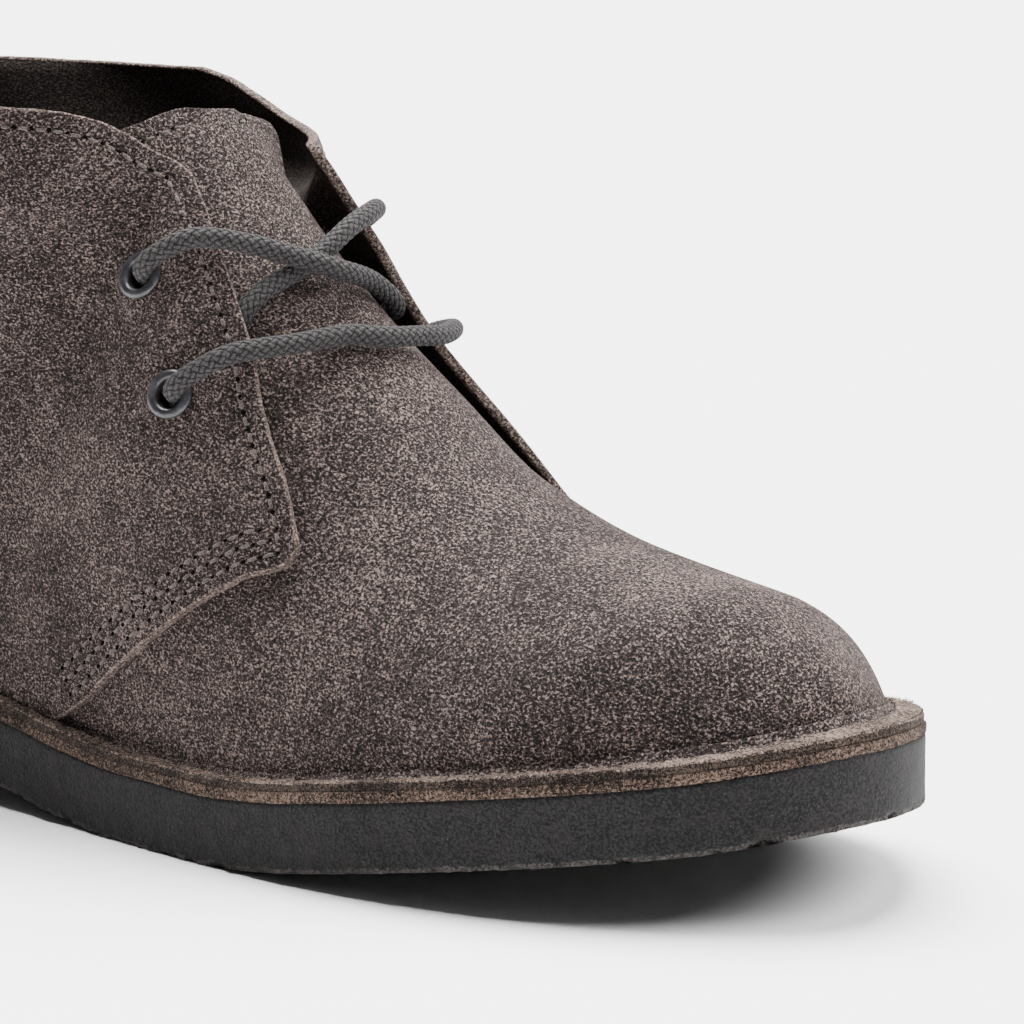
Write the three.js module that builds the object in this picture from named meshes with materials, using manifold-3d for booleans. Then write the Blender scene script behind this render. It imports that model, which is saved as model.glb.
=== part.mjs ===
// Right desert boot, shown unworn, in millimetres.
// Toe along +X, inner side of the foot along +Y, up along +Z, floor at zero.
import * as THREE from 'three';
import { mergeVertices } from 'three/addons/utils/BufferGeometryUtils.js';
import Module from 'manifold-3d';

const wasm = await Module();
wasm.setup();

// Driving sizes
const bootLength = 300; // outsole, heel to toe
const ballWidth = 100; // outsole across the ball of the foot
const collarHeight = 128; // collar above the floor
const crepe = 12.5; // crepe outsole sheet
const heelLift = 11.5; // block under the heel
const toeSpring = 17; // underside of the toe above the floor
const midsoleThick = 1.6;
const insoleThick = 2.6;
const vampThick = 1.8;
const quarterThick = 2.0;
const flangeThick = 1.7; // out-turned edge of the upper
const seamAllowance = 0.062; // vamp carried under the quarters, share of the side line
const fit = 0.3; // clearance between curved pieces
const seamPress = 0.7; // quarters let into the vamp along their seam

// Eyelets and lace
const eyeletHole = 2.6; // radius
const eyeletRim = 4.6;
const eyeletBarrel = 3.1;
const laceRadius = 1.85;

// Outline of the sole: along from the heel, outer half width, inner half width
const outlineRows = [
  [0.035, 0.243, 0.243],
  [0.09, 0.346, 0.34],
  [0.17, 0.383, 0.373],
  [0.27, 0.378, 0.351],
  [0.37, 0.386, 0.324],
  [0.47, 0.421, 0.326],
  [0.57, 0.464, 0.391],
  [0.66, 0.492, 0.475],
  [0.74, 0.489, 0.518],
  [0.82, 0.448, 0.525],
  [0.89, 0.373, 0.472],
  [0.945, 0.266, 0.337],
  [0.985, 0.127, 0.175],
];
const toeShift = 0.024; // toe tip towards the inner side

// Underside of the crepe sheet: along, share of the heel lift, share of the toe spring
const undersideRows = [
  [0, 1, 0],
  [0.2, 1, 0],
  [0.27, 0.94, 0],
  [0.3, 0.83, 0],
  [0.36, 0.59, 0],
  [0.43, 0.3, 0],
  [0.5, 0.05, 0],
  [0.53, 0, 0],
  [0.61, 0, 0],
  [0.66, 0, 0.06],
  [0.72, 0, 0.2],
  [0.8, 0, 0.41],
  [0.88, 0, 0.61],
  [0.95, 0, 0.8],
  [1, 0, 1],
];
const heelBreast = 0.27; // front of the heel lift
const undersideAt = s => column(undersideRows, 1, s) * heelLift + column(undersideRows, 2, s) * toeSpring;

// Ledge of the sole outside the upper: along, width in millimetres
const ledgeRows = [
  [0, 4.0],
  [0.1, 4.2],
  [0.5, 4.5],
  [0.8, 4.8],
  [0.93, 5.6],
  [1, 6.6],
];

// Sections of the last, from the toe tip (share 0) along each side line to the back of the heel (share 1).
// Columns: share, top along, top height, top out, top in, turn of the top in degrees, upright part of the wall,
// lean of the wall in degrees, flat part of the roof, drop of the roof, forward run of that drop, inner fullness
const lastRows = [
  [0, 0.887, 0.411, 0, 0, 0, 0.44, -15, 0.57, 0, 0, 0],
  [0.06, 0.887, 0.411, 0, 0, 30, 0.44, -13, 0.57, 0, 0, 0],
  [0.12, 0.887, 0.411, 0, 0, 60, 0.44, -9, 0.57, 0, 0, 0],
  [0.18, 0.887, 0.411, 0, 0, 90, 0.44, 0, 0.57, 0, 0, 0],
  [0.26, 0.78, 0.456, 0, 0, 90, 0.4, 0, 0.6, 0, 0, 0],
  [0.34, 0.69, 0.555, 0, 0, 90, 0.36, 0, 0.6, 0, 0, 0],
  [0.4, 0.625, 0.669, 0, 0, 90, 0.45, 0, 0.62, 0, 0, 0],
  [0.46, 0.56, 0.788, 0, 0, 90, 0.5, 0, 0.7, 0, 0.9, 0.04],
  [0.5, 0.525, 0.866, 0, 0, 90, 0.54, 0, 0.76, 0.03, 0.9, 0.08],
  [0.53, 0.5, 0.932, 0, 0, 90, 0.55, 0, 0.76, 0.08, 0.9, 0.1],
  [0.56, 0.478, 1, 0, 0, 90, 0.53, 0, 0.72, 0.18, 0.8, 0.1],
  [0.59, 0.462, 1.005, 0.15, 0.15, 95, 0.48, 0, 0.42, 0.23, 0.6, 0.05],
  [0.62, 0.434, 1.008, 0.27, 0.27, 102, 0.44, 0, 0.2, 0.31, 0.35, 0],
  [0.65, 0.398, 1.006, 0.34, 0.335, 106, 0.41, 0, 0.07, 0.36, 0.15, 0],
  [0.7, 0.33, 1, 0.389, 0.378, 110, 0.4, 1, 0, 0.4, 0, 0],
  [0.8, 0.2, 0.992, 0.385, 0.365, 120, 0.4, 3, 0, 0.4, 0, 0],
  [0.86, 0.118, 0.988, 0.348, 0.338, 135, 0.4, 4, 0, 0.4, 0, 0],
  [0.91, 0.063, 0.984, 0.28, 0.278, 150, 0.4, 4, 0, 0.4, 0, 0],
  [0.955, 0.029, 0.982, 0.16, 0.16, 165, 0.4, 4, 0, 0.4, 0, 0],
  [1, 0.018, 0.982, 0, 0, 180, 0.4, 4, 0, 0.4, 0, 0],
];
const instepSlope = 0.24; // rise of the instep line behind the toe box
const blend = 0.022; // reach of the blend between sections, share of the side line

// Front edge of a quarter, from the sole up to the collar: rise on the section, share of the outer side line,
// share of the inner side line
const quarterEdge = [
  [0, 0.542, 0.542],
  [0.042, 0.512, 0.51],
  [0.101, 0.486, 0.482],
  [0.168, 0.459, 0.452],
  [0.255, 0.429, 0.418],
  [0.364, 0.398, 0.378],
  [0.485, 0.371, 0.333],
  [0.535, 0.381, 0.341],
  [0.57, 0.392, 0.352],
  [0.603, 0.407, 0.367],
  [0.65, 0.425, 0.402],
  [0.695, 0.438, 0.441],
  [0.73, 0.454, 0.456],
  [0.775, 0.484, 0.476],
  [0.796, 0.504, 0.501],
  [0.812, 0.526, 0.523],
  [0.828, 0.549, 0.545],
  [0.852, 0.57, 0.575],
  [0.886, 0.585, 0.609],
  [0.931, 0.598, 0.645],
  [0.967, 0.61, 0.67],
  [0.989, 0.625, 0.688],
  [1, 0.645, 0.705],
];
const cornerRise = 0.485; // point of the quarter, where its two front edges meet

// Back edge of the vamp and, above the point of the quarter, outline of the tongue cut in one with it
const tongueEdge = [
  [0.485, 0.433],
  [0.53, 0.435],
  [0.57, 0.441],
  [0.6, 0.45],
  [0.64, 0.464],
  [0.67, 0.477],
  [0.7, 0.495],
  [0.72, 0.518],
  [0.74, 0.548],
  [0.765, 0.57],
  [0.81, 0.59],
  [0.86, 0.602],
  [0.91, 0.606],
  [0.942, 0.602],
  [0.965, 0.589],
  [0.985, 0.579],
  [0.996, 0.57],
  [1, 0.56],
];

// How far the free front of each quarter stands off the tongue: rise on the section, outer side, inner side
const liftRows = [
  [0, -0.2, -0.2],
  [0.485, -0.2, -0.2],
  [0.56, 1.0, 1.0],
  [0.65, 2.0, 2.6],
  [0.74, 2.5, 4.4],
  [0.82, 2.7, 6.2],
  [0.885, 2.6, 5.4],
  [0.94, 2.5, 4.2],
  [1, 2.4, 3.6],
];
const liftReach = [0.06, 0.2]; // lift held, then lost, behind the front edge

// Eyelets on each quarter: share of the side line, rise on the section
const eyeletPlaces = { upper: [0.539, 0.631], lower: [0.475, 0.529] };

const clamp = (x, a, b) => Math.min(Math.max(x, a), b);
const mix = (a, b, k) => a + (b - a) * k;
const smooth = x => { const k = clamp(x, 0, 1); return k * k * (3 - 2 * k); };
const radians = THREE.MathUtils.degToRad;
const vec = (x, y, z) => new THREE.Vector3(x, y, z);

// Value of one column of a table at x, by a curve that keeps to the rises and falls of the table
function column(rows, c, x) {
  const n = rows.length;
  const at = clamp(x, rows[0][0], rows[n - 1][0]);
  const grade = i => (rows[i + 1][c] - rows[i][c]) / (rows[i + 1][0] - rows[i][0]);
  const slope = i => {
    if (i === 0) return grade(0);
    if (i === n - 1) return grade(n - 2);
    const [a, b] = [grade(i - 1), grade(i)];
    if (a * b <= 0) return 0;
    const [before, after] = [rows[i][0] - rows[i - 1][0], rows[i + 1][0] - rows[i][0]];
    return 3 * (before + after) / ((2 * after + before) / a + (after + 2 * before) / b);
  };
  let i = 0;
  while (i < n - 2 && at > rows[i + 1][0]) i++;
  const h = rows[i + 1][0] - rows[i][0];
  const t = (at - rows[i][0]) / h;
  return (1 + 2 * t) * (1 - t) ** 2 * rows[i][c] + t * (1 - t) ** 2 * h * slope(i)
    + t * t * (3 - 2 * t) * rows[i + 1][c] + t * t * (t - 1) * h * slope(i + 1);
}

// Outline of the sole as one closed curve
const outlineCurve = new THREE.CatmullRomCurve3([
  vec(bootLength, toeShift * ballWidth, 0),
  ...outlineRows.map(([s, out]) => vec(s * bootLength, -out * ballWidth, 0)).reverse(),
  vec(0, 0, 0),
  ...outlineRows.map(([s, , inner]) => vec(s * bootLength, inner * ballWidth, 0)),
], true, 'centripetal');
const outline = outlineCurve.getSpacedPoints(720).slice(0, -1);

// One side line of the sole from toe to heel, moved in from the edge; side is -1 outer, 1 inner
function sideLine(side, inset) {
  const n = outline.length;
  const heel = outline.reduce((best, p, i) => (p.x < outline[best].x ? i : best), 0);
  const count = side < 0 ? heel : n - heel;
  const line = [];
  let run = 0;
  for (let k = 0; k <= count; k++) {
    const i = (n + (side < 0 ? k : -k)) % n;
    const next = outline[(i + 1) % n];
    const last = outline[(i + n - 1) % n];
    const along = vec(next.x - last.x, next.y - last.y, 0).normalize();
    const out = vec(-along.y, along.x, 0);
    const point = outline[i].clone().addScaledVector(out, -inset(outline[i].x / bootLength));
    if (k) run += point.distanceTo(line[k - 1].point);
    line.push({ point, out, run });
  }
  return line;
}

const ledgeAt = s => column(ledgeRows, 1, s);
const featherLines = { [-1]: sideLine(-1, ledgeAt), 1: sideLine(1, ledgeAt) };
const midsoleBottom = s => undersideAt(s) + crepe + fit;
const midsoleTop = s => midsoleBottom(s) + midsoleThick;
const flangeBottom = s => midsoleTop(s) + fit;
const flangeTop = s => flangeBottom(s) + flangeThick;
const wallFoot = 0.5; // foot of the upper's wall above the underside of the flange

// Point on a side line at a share of its length
function feather(u, side) {
  const line = featherLines[side];
  const run = u * line[line.length - 1].run;
  let k = 1;
  while (k < line.length - 1 && line[k].run < run) k++;
  const [a, b] = [line[k - 1], line[k]];
  const share = (run - a.run) / (b.run - a.run);
  const point = a.point.clone().lerp(b.point, share);
  point.z = flangeBottom(point.x / bootLength) + wallFoot;
  return { point, out: a.out.clone().lerp(b.out, share).normalize() };
}

// Point of one section of the last: u along the side line from toe to heel, t up the section, side outer or inner
function sectionPoint(u, t, side) {
  const { point: foot, out } = feather(u, side);
  const [topX, topZ] = [column(lastRows, 1, u) * bootLength, column(lastRows, 2, u) * collarHeight];
  const topY = side * column(lastRows, side < 0 ? 3 : 4, u) * ballWidth;
  const top = vec(topX, topY, topZ);
  const turn = radians(column(lastRows, 5, u));
  const lean = radians(column(lastRows, 7, u));
  const height = top.z - foot.z;
  const reach = Math.hypot(top.x - foot.x, top.y - foot.y);
  const rise = column(lastRows, 6, u) * height;
  const wall = foot.clone().addScaledVector(out, Math.sin(lean) * rise).add(vec(0, 0, Math.cos(lean) * rise));
  const inward = vec(-Math.cos(turn), -side * Math.sin(turn), instepSlope * Math.cos(turn));
  const flat = column(lastRows, 8, u) + (side > 0 ? column(lastRows, 11, u) : 0);
  const drop = column(lastRows, 9, u) * height;
  const roof = top.clone().addScaledVector(inward, -reach * flat).add(vec(column(lastRows, 10, u) * drop, 0, -drop));
  return new THREE.CubicBezierCurve3(foot, wall, roof, top).getPoint(t);
}

// Surface of the last; sections between the instep and the ankle are blended with their neighbours
function lastPoint(u, t, side) {
  const spread = blend * smooth((u - 0.4) / 0.08) * smooth((0.76 - u) / 0.08);
  const point = sectionPoint(u, t, side);
  if (spread === 0) return point;
  const [ahead, behind] = [sectionPoint(u - spread, t, side), sectionPoint(u + spread, t, side)];
  return point.multiplyScalar(2).add(ahead).add(behind).divideScalar(4);
}

// A sheet between two offsets of a grid of points, closed along its free edges.
// rows[i][j] holds { at, low, high }: the point, and the offsets of the two faces along the normal
function sheet(rows) {
  const [n, m] = [rows.length, rows[0].length];
  const index = (i, j) => i * m + j;
  const nodes = rows.flat();
  const faces = [];
  for (let i = 0; i < n - 1; i++) {
    for (let j = 0; j < m - 1; j++) {
      const [a, b, c, d] = [index(i, j), index(i + 1, j), index(i + 1, j + 1), index(i, j + 1)];
      const point = k => nodes[k].at;
      if (point(a).distanceTo(point(c)) < point(b).distanceTo(point(d))) faces.push(a, b, c, a, c, d);
      else faces.push(a, b, d, b, c, d);
    }
  }
  const key = p => [p.x, p.y, p.z].map(v => Math.round(v * 1e3)).join();
  const first = new Map();
  const same = nodes.map((node, k) => {
    const name = key(node.at);
    if (!first.has(name)) first.set(name, k);
    return first.get(name);
  });
  const normals = nodes.map(() => vec(0, 0, 0));
  const kept = [];
  for (let f = 0; f < faces.length; f += 3) {
    const [a, b, c] = [same[faces[f]], same[faces[f + 1]], same[faces[f + 2]]];
    if (a === b || b === c || a === c) continue;
    kept.push([a, b, c]);
    const [p, q, r] = [nodes[a].at, nodes[b].at, nodes[c].at];
    const normal = q.clone().sub(p).cross(r.clone().sub(p));
    for (const k of [a, b, c]) normals[k].add(normal);
  }
  const positions = [];
  for (const face of ['high', 'low']) {
    nodes.forEach((node, k) => {
      const normal = normals[same[k]].clone().normalize();
      const p = nodes[same[k]].at.clone().addScaledVector(normal, nodes[same[k]][face]);
      positions.push(p.x, p.y, p.z);
    });
  }
  const under = nodes.length;
  const indices = [];
  const edges = new Map();
  for (const [a, b, c] of kept) {
    indices.push(a, b, c, under + a, under + c, under + b);
    for (const [p, q] of [[a, b], [b, c], [c, a]]) {
      if (!edges.delete(`${q},${p}`)) edges.set(`${p},${q}`, [p, q]);
    }
  }
  for (const [p, q] of edges.values()) {
    indices.push(p, under + p, under + q, p, under + q, q);
  }
  const geometry = new THREE.BufferGeometry();
  geometry.setAttribute('position', new THREE.Float32BufferAttribute(positions, 3));
  geometry.setIndex(indices);
  return geometry;
}

// Solid of a closed geometry
function solid(geometry) {
  const bare = geometry.clone();
  bare.deleteAttribute('normal');
  bare.deleteAttribute('uv');
  const merged = mergeVertices(bare, 1e-4);
  const vertProperties = new Float32Array(merged.attributes.position.array);
  const triVerts = new Uint32Array(merged.index.array);
  return new wasm.Manifold(new wasm.Mesh({ numProp: 3, vertProperties, triVerts }));
}

function geometryOf(body) {
  const mesh = body.getMesh();
  const geometry = new THREE.BufferGeometry();
  geometry.setAttribute('position', new THREE.Float32BufferAttribute(mesh.vertProperties, 3));
  geometry.setIndex([...mesh.triVerts]);
  geometry.computeVertexNormals();
  return geometry;
}

// Where a side line crosses a station along the boot
function acrossAt(line, x) {
  let k = 1;
  while (k < line.length - 1 && line[k].point.x > x) k++;
  const [a, b] = [line[k - 1].point, line[k].point];
  const share = clamp((x - a.x) / (b.x - a.x || 1), 0, 1);
  return mix(a.y, b.y, share);
}

// A layer of the sole between two heights, inside the outline by an inset, from one station to another
function layer({ inset, low, high, front = 1, stations = 46 }) {
  const lines = [sideLine(-1, inset), sideLine(1, inset)];
  const [heel, toe] = [lines[0][lines[0].length - 1].point.x, lines[0][0].point.x];
  const end = Math.min(toe, front * bootLength);
  const turnEnd = front < 1 ? Math.PI / 2 : Math.PI;
  const rows = [];
  for (let i = 0; i <= stations; i++) {
    const share = (1 - Math.cos(turnEnd * i / stations)) / (1 - Math.cos(turnEnd));
    const x = mix(heel, end, share);
    const [outer, inner] = lines.map(line => acrossAt(line, x));
    const s = x / bootLength;
    const row = [];
    const closed = i === 0 || (front === 1 && i === stations);
    for (const y of closed ? [(outer + inner) / 2, (outer + inner) / 2] : [inner, outer]) {
      row.push({ x, y, low: low(s), high: high(s) });
    }
    rows.push(row);
  }
  const flat = rows.flat();
  const positions = [...flat.flatMap(p => [p.x, p.y, p.high]), ...flat.flatMap(p => [p.x, p.y, p.low])];
  const under = flat.length;
  const indices = [];
  const quad = (a, b, c, d) => indices.push(a, b, c, a, c, d);
  for (let i = 0; i < stations; i++) {
    const [a, b] = [2 * i, 2 * (i + 1)];
    quad(a, a + 1, b + 1, b);
    quad(under + a, under + b, under + b + 1, under + a + 1);
    quad(a, b, under + b, under + a);
    quad(b + 1, a + 1, under + a + 1, under + b + 1);
  }
  const last = 2 * stations;
  if (front < 1) quad(last, last + 1, under + last + 1, under + last);
  const geometry = new THREE.BufferGeometry();
  geometry.setAttribute('position', new THREE.Float32BufferAttribute(positions, 3));
  geometry.setIndex(indices);
  const merged = mergeVertices(geometry, 1e-3);
  const clean = [];
  const index = merged.index.array;
  for (let f = 0; f < index.length; f += 3) {
    const [a, b, c] = [index[f], index[f + 1], index[f + 2]];
    if (a !== b && b !== c && a !== c) clean.push(a, b, c);
  }
  merged.setIndex(clean);
  return solid(merged);
}

// Vamp and tongue, in one sheet from the outer side over the instep to the inner side
const quarterFront = (t, side) => column(quarterEdge, side < 0 ? 1 : 2, t);
const vampBack = (t, side) => (
  t <= cornerRise ? quarterFront(t, side) + seamAllowance : column(tongueEdge, 1, t)
);
const vampRises = [
  0, 0.1, 0.2, 0.3, 0.4, 0.485, 0.545, 0.6, 0.65, 0.69, 0.72, 0.75, 0.8, 0.86, 0.92, 0.965, 1,
];
function vampSheet(lengthways = 18) {
  const lines = [...vampRises.map(t => [t, -1]), ...vampRises.slice(0, -1).reverse().map(t => [t, 1])];
  const rows = lines.map(([t, side]) => {
    const row = [];
    for (let i = 0; i <= lengthways; i++) {
      const u = vampBack(t, side) * (1 - (1 - i / lengthways) ** 1.15);
      row.push({ at: lastPoint(u, t, side), low: -vampThick, high: 0 });
    }
    return row;
  });
  return solid(sheet(rows));
}

// Offset of a quarter's inner face from the last surface
function quarterInner(u, t, side) {
  const lift = column(liftRows, side < 0 ? 1 : 2, t);
  const back = u - quarterFront(t, side);
  const loss = smooth((back - liftReach[0]) / (liftReach[1] - liftReach[0]));
  return mix(lift, -vampThick, loss);
}

// Both quarters, in one sheet from the outer front edge round the heel to the inner front edge
const quarterRises = [
  0, 0.12, 0.24, 0.36, 0.485, 0.535, 0.585, 0.64, 0.69, 0.73, 0.765, 0.79, 0.81, 0.83, 0.855, 0.89, 0.93, 0.965, 1,
];
const quarterShares = [1, 0.982, 0.96, 0.932, 0.9, 0.86, 0.81, 0.765, 0.72];
function quarterSheet(frontCells = 8) {
  const last = quarterShares.length - 1;
  const count = last + frontCells;
  const shareAt = (k, t, side) => {
    if (k <= last) return quarterShares[k];
    return mix(quarterShares[last], quarterFront(t, side), 1 - (1 - (k - last) / frontCells) ** 1.3);
  };
  const rows = quarterRises.map(t => {
    const row = [];
    for (let i = count; i >= -count; i--) {
      const side = i <= 0 ? -1 : 1;
      const u = shareAt(Math.abs(i), t, side);
      const low = quarterInner(u, t, side);
      const press = seamPress * smooth((cornerRise + 0.05 - t) / 0.05);
      row.push({ at: lastPoint(u, t, side), low: low - press, high: low + quarterThick });
    }
    return row;
  });
  return solid(sheet(rows));
}

// Centre of an eyelet on the outer face of a quarter, and the direction it faces
function eyeletSeat(side, [u, t]) {
  const step = 0.01;
  const at = lastPoint(u, t, side);
  const along = lastPoint(u + step, t, side).sub(lastPoint(u - step, t, side));
  const up = lastPoint(u, t + step, side).sub(lastPoint(u, t - step, side));
  const out = along.cross(up).multiplyScalar(side).normalize();
  at.addScaledVector(out, quarterInner(u, t, side) + quarterThick);
  return { at, out };
}

// Turns a geometry built along +Y so that it faces out from a seat
function seated(geometry, { at, out }) {
  const turned = geometry.clone();
  turned.applyQuaternion(new THREE.Quaternion().setFromUnitVectors(vec(0, 1, 0), out));
  turned.translate(at.x, at.y, at.z);
  return turned;
}

const seats = {
  outer_upper: eyeletSeat(-1, eyeletPlaces.upper),
  outer_lower: eyeletSeat(-1, eyeletPlaces.lower),
  inner_upper: eyeletSeat(1, eyeletPlaces.upper),
  inner_lower: eyeletSeat(1, eyeletPlaces.lower),
};

// Upper: vamp with tongue, quarters and the out-turned edge that lies on the midsole
function upper() {
  const flange = layer({ inset: () => fit, low: flangeBottom, high: flangeTop });
  const opening = layer({
    inset: s => ledgeAt(s) + vampThick * 0.6,
    low: s => flangeBottom(s) - 3,
    high: s => flangeTop(s) + 3,
  });
  let quarters = quarterSheet();
  for (const seat of Object.values(seats)) quarters = quarters.subtract(eyeletHoleIn(seat));
  return vampSheet().add(quarters).add(flange.subtract(opening));
}

// Hole for an eyelet, with a flat for its rim and its washer on the two faces
function eyeletHoleIn(seat) {
  const wide = eyeletRim + fit;
  const profile = [
    [0, -6],
    [wide, -6],
    [wide, -quarterThick],
    [eyeletBarrel + fit, -quarterThick],
    [eyeletBarrel + fit, 0],
    [wide, 0],
    [wide, 4],
    [0, 4],
  ].map(([r, y]) => new THREE.Vector2(r, y));
  return solid(seated(new THREE.LatheGeometry(profile, 20), seat));
}

// Eyelet: rolled rim outside, barrel through the quarter, washer inside
function eyelet(seat) {
  const washerTop = -quarterThick - fit;
  const profile = [
    [eyeletHole, washerTop - 0.5],
    [eyeletRim - 0.4, washerTop - 0.5],
    [eyeletRim - 0.4, washerTop],
    [eyeletBarrel, washerTop],
    [eyeletBarrel, fit],
    [eyeletRim, fit],
    [eyeletRim - 0.2, fit + 0.7],
    [eyeletRim - 1.0, fit + 1.2],
    [eyeletHole + 0.3, fit + 0.9],
    [eyeletHole, washerTop - 0.5],
  ].map(([r, y]) => new THREE.Vector2(r, y));
  return solid(seated(new THREE.LatheGeometry(profile, 18), seat));
}

// A run of lace through points, closed at both ends
function lace(points) {
  const curve = new THREE.CatmullRomCurve3(points, false, 'centripetal');
  const steps = Math.round(curve.getLength() / 4);
  const sides = 10;
  const frames = curve.computeFrenetFrames(steps);
  const positions = [];
  const indices = [];
  for (let i = 0; i <= steps; i++) {
    const centre = curve.getPointAt(i / steps);
    for (let j = 0; j < sides; j++) {
      const turn = 2 * Math.PI * j / sides;
      const p = centre.clone()
        .addScaledVector(frames.normals[i], Math.cos(turn) * laceRadius)
        .addScaledVector(frames.binormals[i], Math.sin(turn) * laceRadius);
      positions.push(p.x, p.y, p.z);
    }
  }
  for (let i = 0; i < steps; i++) {
    for (let j = 0; j < sides; j++) {
      const [a, b] = [i * sides + j, i * sides + (j + 1) % sides];
      indices.push(a, b, b + sides, a, b + sides, a + sides);
    }
  }
  for (let j = 1; j < sides - 1; j++) {
    const end = steps * sides;
    indices.push(0, j + 1, j, end, end + j, end + j + 1);
  }
  const geometry = new THREE.BufferGeometry();
  geometry.setAttribute('position', new THREE.Float32BufferAttribute(positions, 3));
  geometry.setIndex(indices);
  return solid(geometry);
}

// Point at a height above the last surface
function over(side, u, t, height) {
  const step = 0.005;
  const at = lastPoint(u, t, side);
  const along = lastPoint(u + step, t, side).sub(lastPoint(u - step, t, side));
  const up = lastPoint(u, Math.min(t + step, 1), side).sub(lastPoint(u, t - step, side));
  return at.addScaledVector(along.cross(up).multiplyScalar(side).normalize(), height);
}

// Lace, as runs of points: side, share of the side line, rise on the section, height over the last
const laceRuns = {
  outer: [
    [-1, 0.537, 0.64, 7.2],
    [-1, 0.529, 0.68, 7.6],
    [-1, 0.509, 0.747, 7.3],
    [-1, 0.482, 0.83, 6.6],
    [-1, 0.457, 0.92, 5.6],
    [-1, 0.447, 0.99, 4.6],
    [1, 0.447, 0.88, 2.7],
    [1, 0.449, 0.765, 2.5],
  ],
  inner: [
    [1, 0.537, 0.64, 7.8],
    [1, 0.522, 0.69, 9.0],
    [1, 0.5, 0.77, 10.4],
    [1, 0.474, 0.9, 6.4],
    [-1, 0.461, 0.99, 2.6],
    [-1, 0.458, 0.92, 2.3],
    [-1, 0.459, 0.807, 2.4],
    [-1, 0.459, 0.765, 2.4],
  ],
  bar: [
    [-1, 0.473, 0.54, 6.6],
    [-1, 0.464, 0.58, 7.2],
    [-1, 0.447, 0.66, 6.9],
    [-1, 0.426, 0.79, 4.0],
    [-1, 0.416, 0.91, 2.7],
    [-1, 0.409, 0.99, 2.5],
    [1, 0.409, 0.9, 3.0],
    [1, 0.414, 0.8, 5.0],
    [1, 0.432, 0.69, 8.2],
    [1, 0.46, 0.59, 7.4],
    [1, 0.473, 0.54, 6.8],
  ],
};
const laceRun = name => lace(laceRuns[name].map(([side, u, t, height]) => over(side, u, t, height)));

const materials = {
  suede: new THREE.MeshStandardMaterial({ color: 0x5a4f4c, roughness: 0.95 }),
  crepe: new THREE.MeshStandardMaterial({ color: 0x3a3a3c, roughness: 0.9 }),
  board: new THREE.MeshStandardMaterial({ color: 0x7d6a5c, roughness: 0.9 }),
  lining: new THREE.MeshStandardMaterial({ color: 0x4b403c, roughness: 0.9 }),
  metal: new THREE.MeshStandardMaterial({ color: 0x2c2d30, roughness: 0.5, metalness: 0.3 }),
  cord: new THREE.MeshStandardMaterial({ color: 0x35353a, roughness: 0.9 }),
};

const midWidth = outline.reduce(([a, b], p) => [Math.min(a, p.y), Math.max(b, p.y)], [0, 0]);
const centre = vec(-bootLength / 2, -(midWidth[0] + midWidth[1]) / 2, 0);

const group = new THREE.Group();
function addPart(name, body, material) {
  const mesh = new THREE.Mesh(geometryOf(body), material);
  mesh.geometry.translate(centre.x, centre.y, centre.z);
  mesh.name = name;
  group.add(mesh);
}

addPart('outsole', layer({
  inset: () => 0, low: undersideAt, high: s => undersideAt(s) + crepe,
}), materials.crepe);
addPart('heel_lift', layer({
  inset: () => 0, low: () => 0, high: s => undersideAt(s) - fit, front: heelBreast, stations: 18,
}), materials.crepe);
addPart('midsole', layer({ inset: () => fit, low: midsoleBottom, high: midsoleTop }), materials.board);
addPart('upper', upper(), materials.suede);
addPart('insole', layer({
  inset: s => ledgeAt(s) + vampThick + 4 * fit,
  low: flangeBottom,
  high: s => flangeBottom(s) + insoleThick,
}), materials.lining);
for (const [place, seat] of Object.entries(seats)) {
  addPart(`eyelet_${place}`, eyelet(seat), materials.metal);
}
addPart('lace_cross', laceRun('outer').add(laceRun('inner')), materials.cord);
addPart('lace_bar', laceRun('bar'), materials.cord);

export default group;
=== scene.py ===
"""Right desert boot in dark taupe suede on a crepe sole, seen from its outer front side."""
import math
import bmesh
import bpy
import numpy as np
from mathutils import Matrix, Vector, noise


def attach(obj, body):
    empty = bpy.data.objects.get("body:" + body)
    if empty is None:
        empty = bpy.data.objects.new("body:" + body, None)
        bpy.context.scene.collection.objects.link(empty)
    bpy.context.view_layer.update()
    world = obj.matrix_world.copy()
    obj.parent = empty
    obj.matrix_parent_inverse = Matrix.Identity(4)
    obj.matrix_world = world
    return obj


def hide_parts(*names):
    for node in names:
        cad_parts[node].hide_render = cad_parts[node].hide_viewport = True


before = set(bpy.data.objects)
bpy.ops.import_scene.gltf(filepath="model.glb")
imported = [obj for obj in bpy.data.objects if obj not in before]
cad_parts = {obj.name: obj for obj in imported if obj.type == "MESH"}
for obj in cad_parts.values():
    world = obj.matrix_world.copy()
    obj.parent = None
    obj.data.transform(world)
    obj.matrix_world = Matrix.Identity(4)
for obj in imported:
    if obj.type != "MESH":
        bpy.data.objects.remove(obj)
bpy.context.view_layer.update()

MM = 0.001

# ---- Sizes in millimetres, as in the solids
LENGTH, BALL, COLLAR = 300.0, 100.0, 128.0
CREPE, HEEL, SPRING = 12.5, 11.5, 17.0
MIDSOLE, VAMP_THICK, QUARTER_THICK, FLANGE = 1.6, 1.8, 2.0, 1.7
FIT, SEAM = 0.3, 0.062  # gap between two layers, share of the side line where vamp and quarter overlap
HOLE, RIM, LACE = 2.6, 4.6, 1.85  # radii of an eyelet's hole, its rim and the lace

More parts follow.
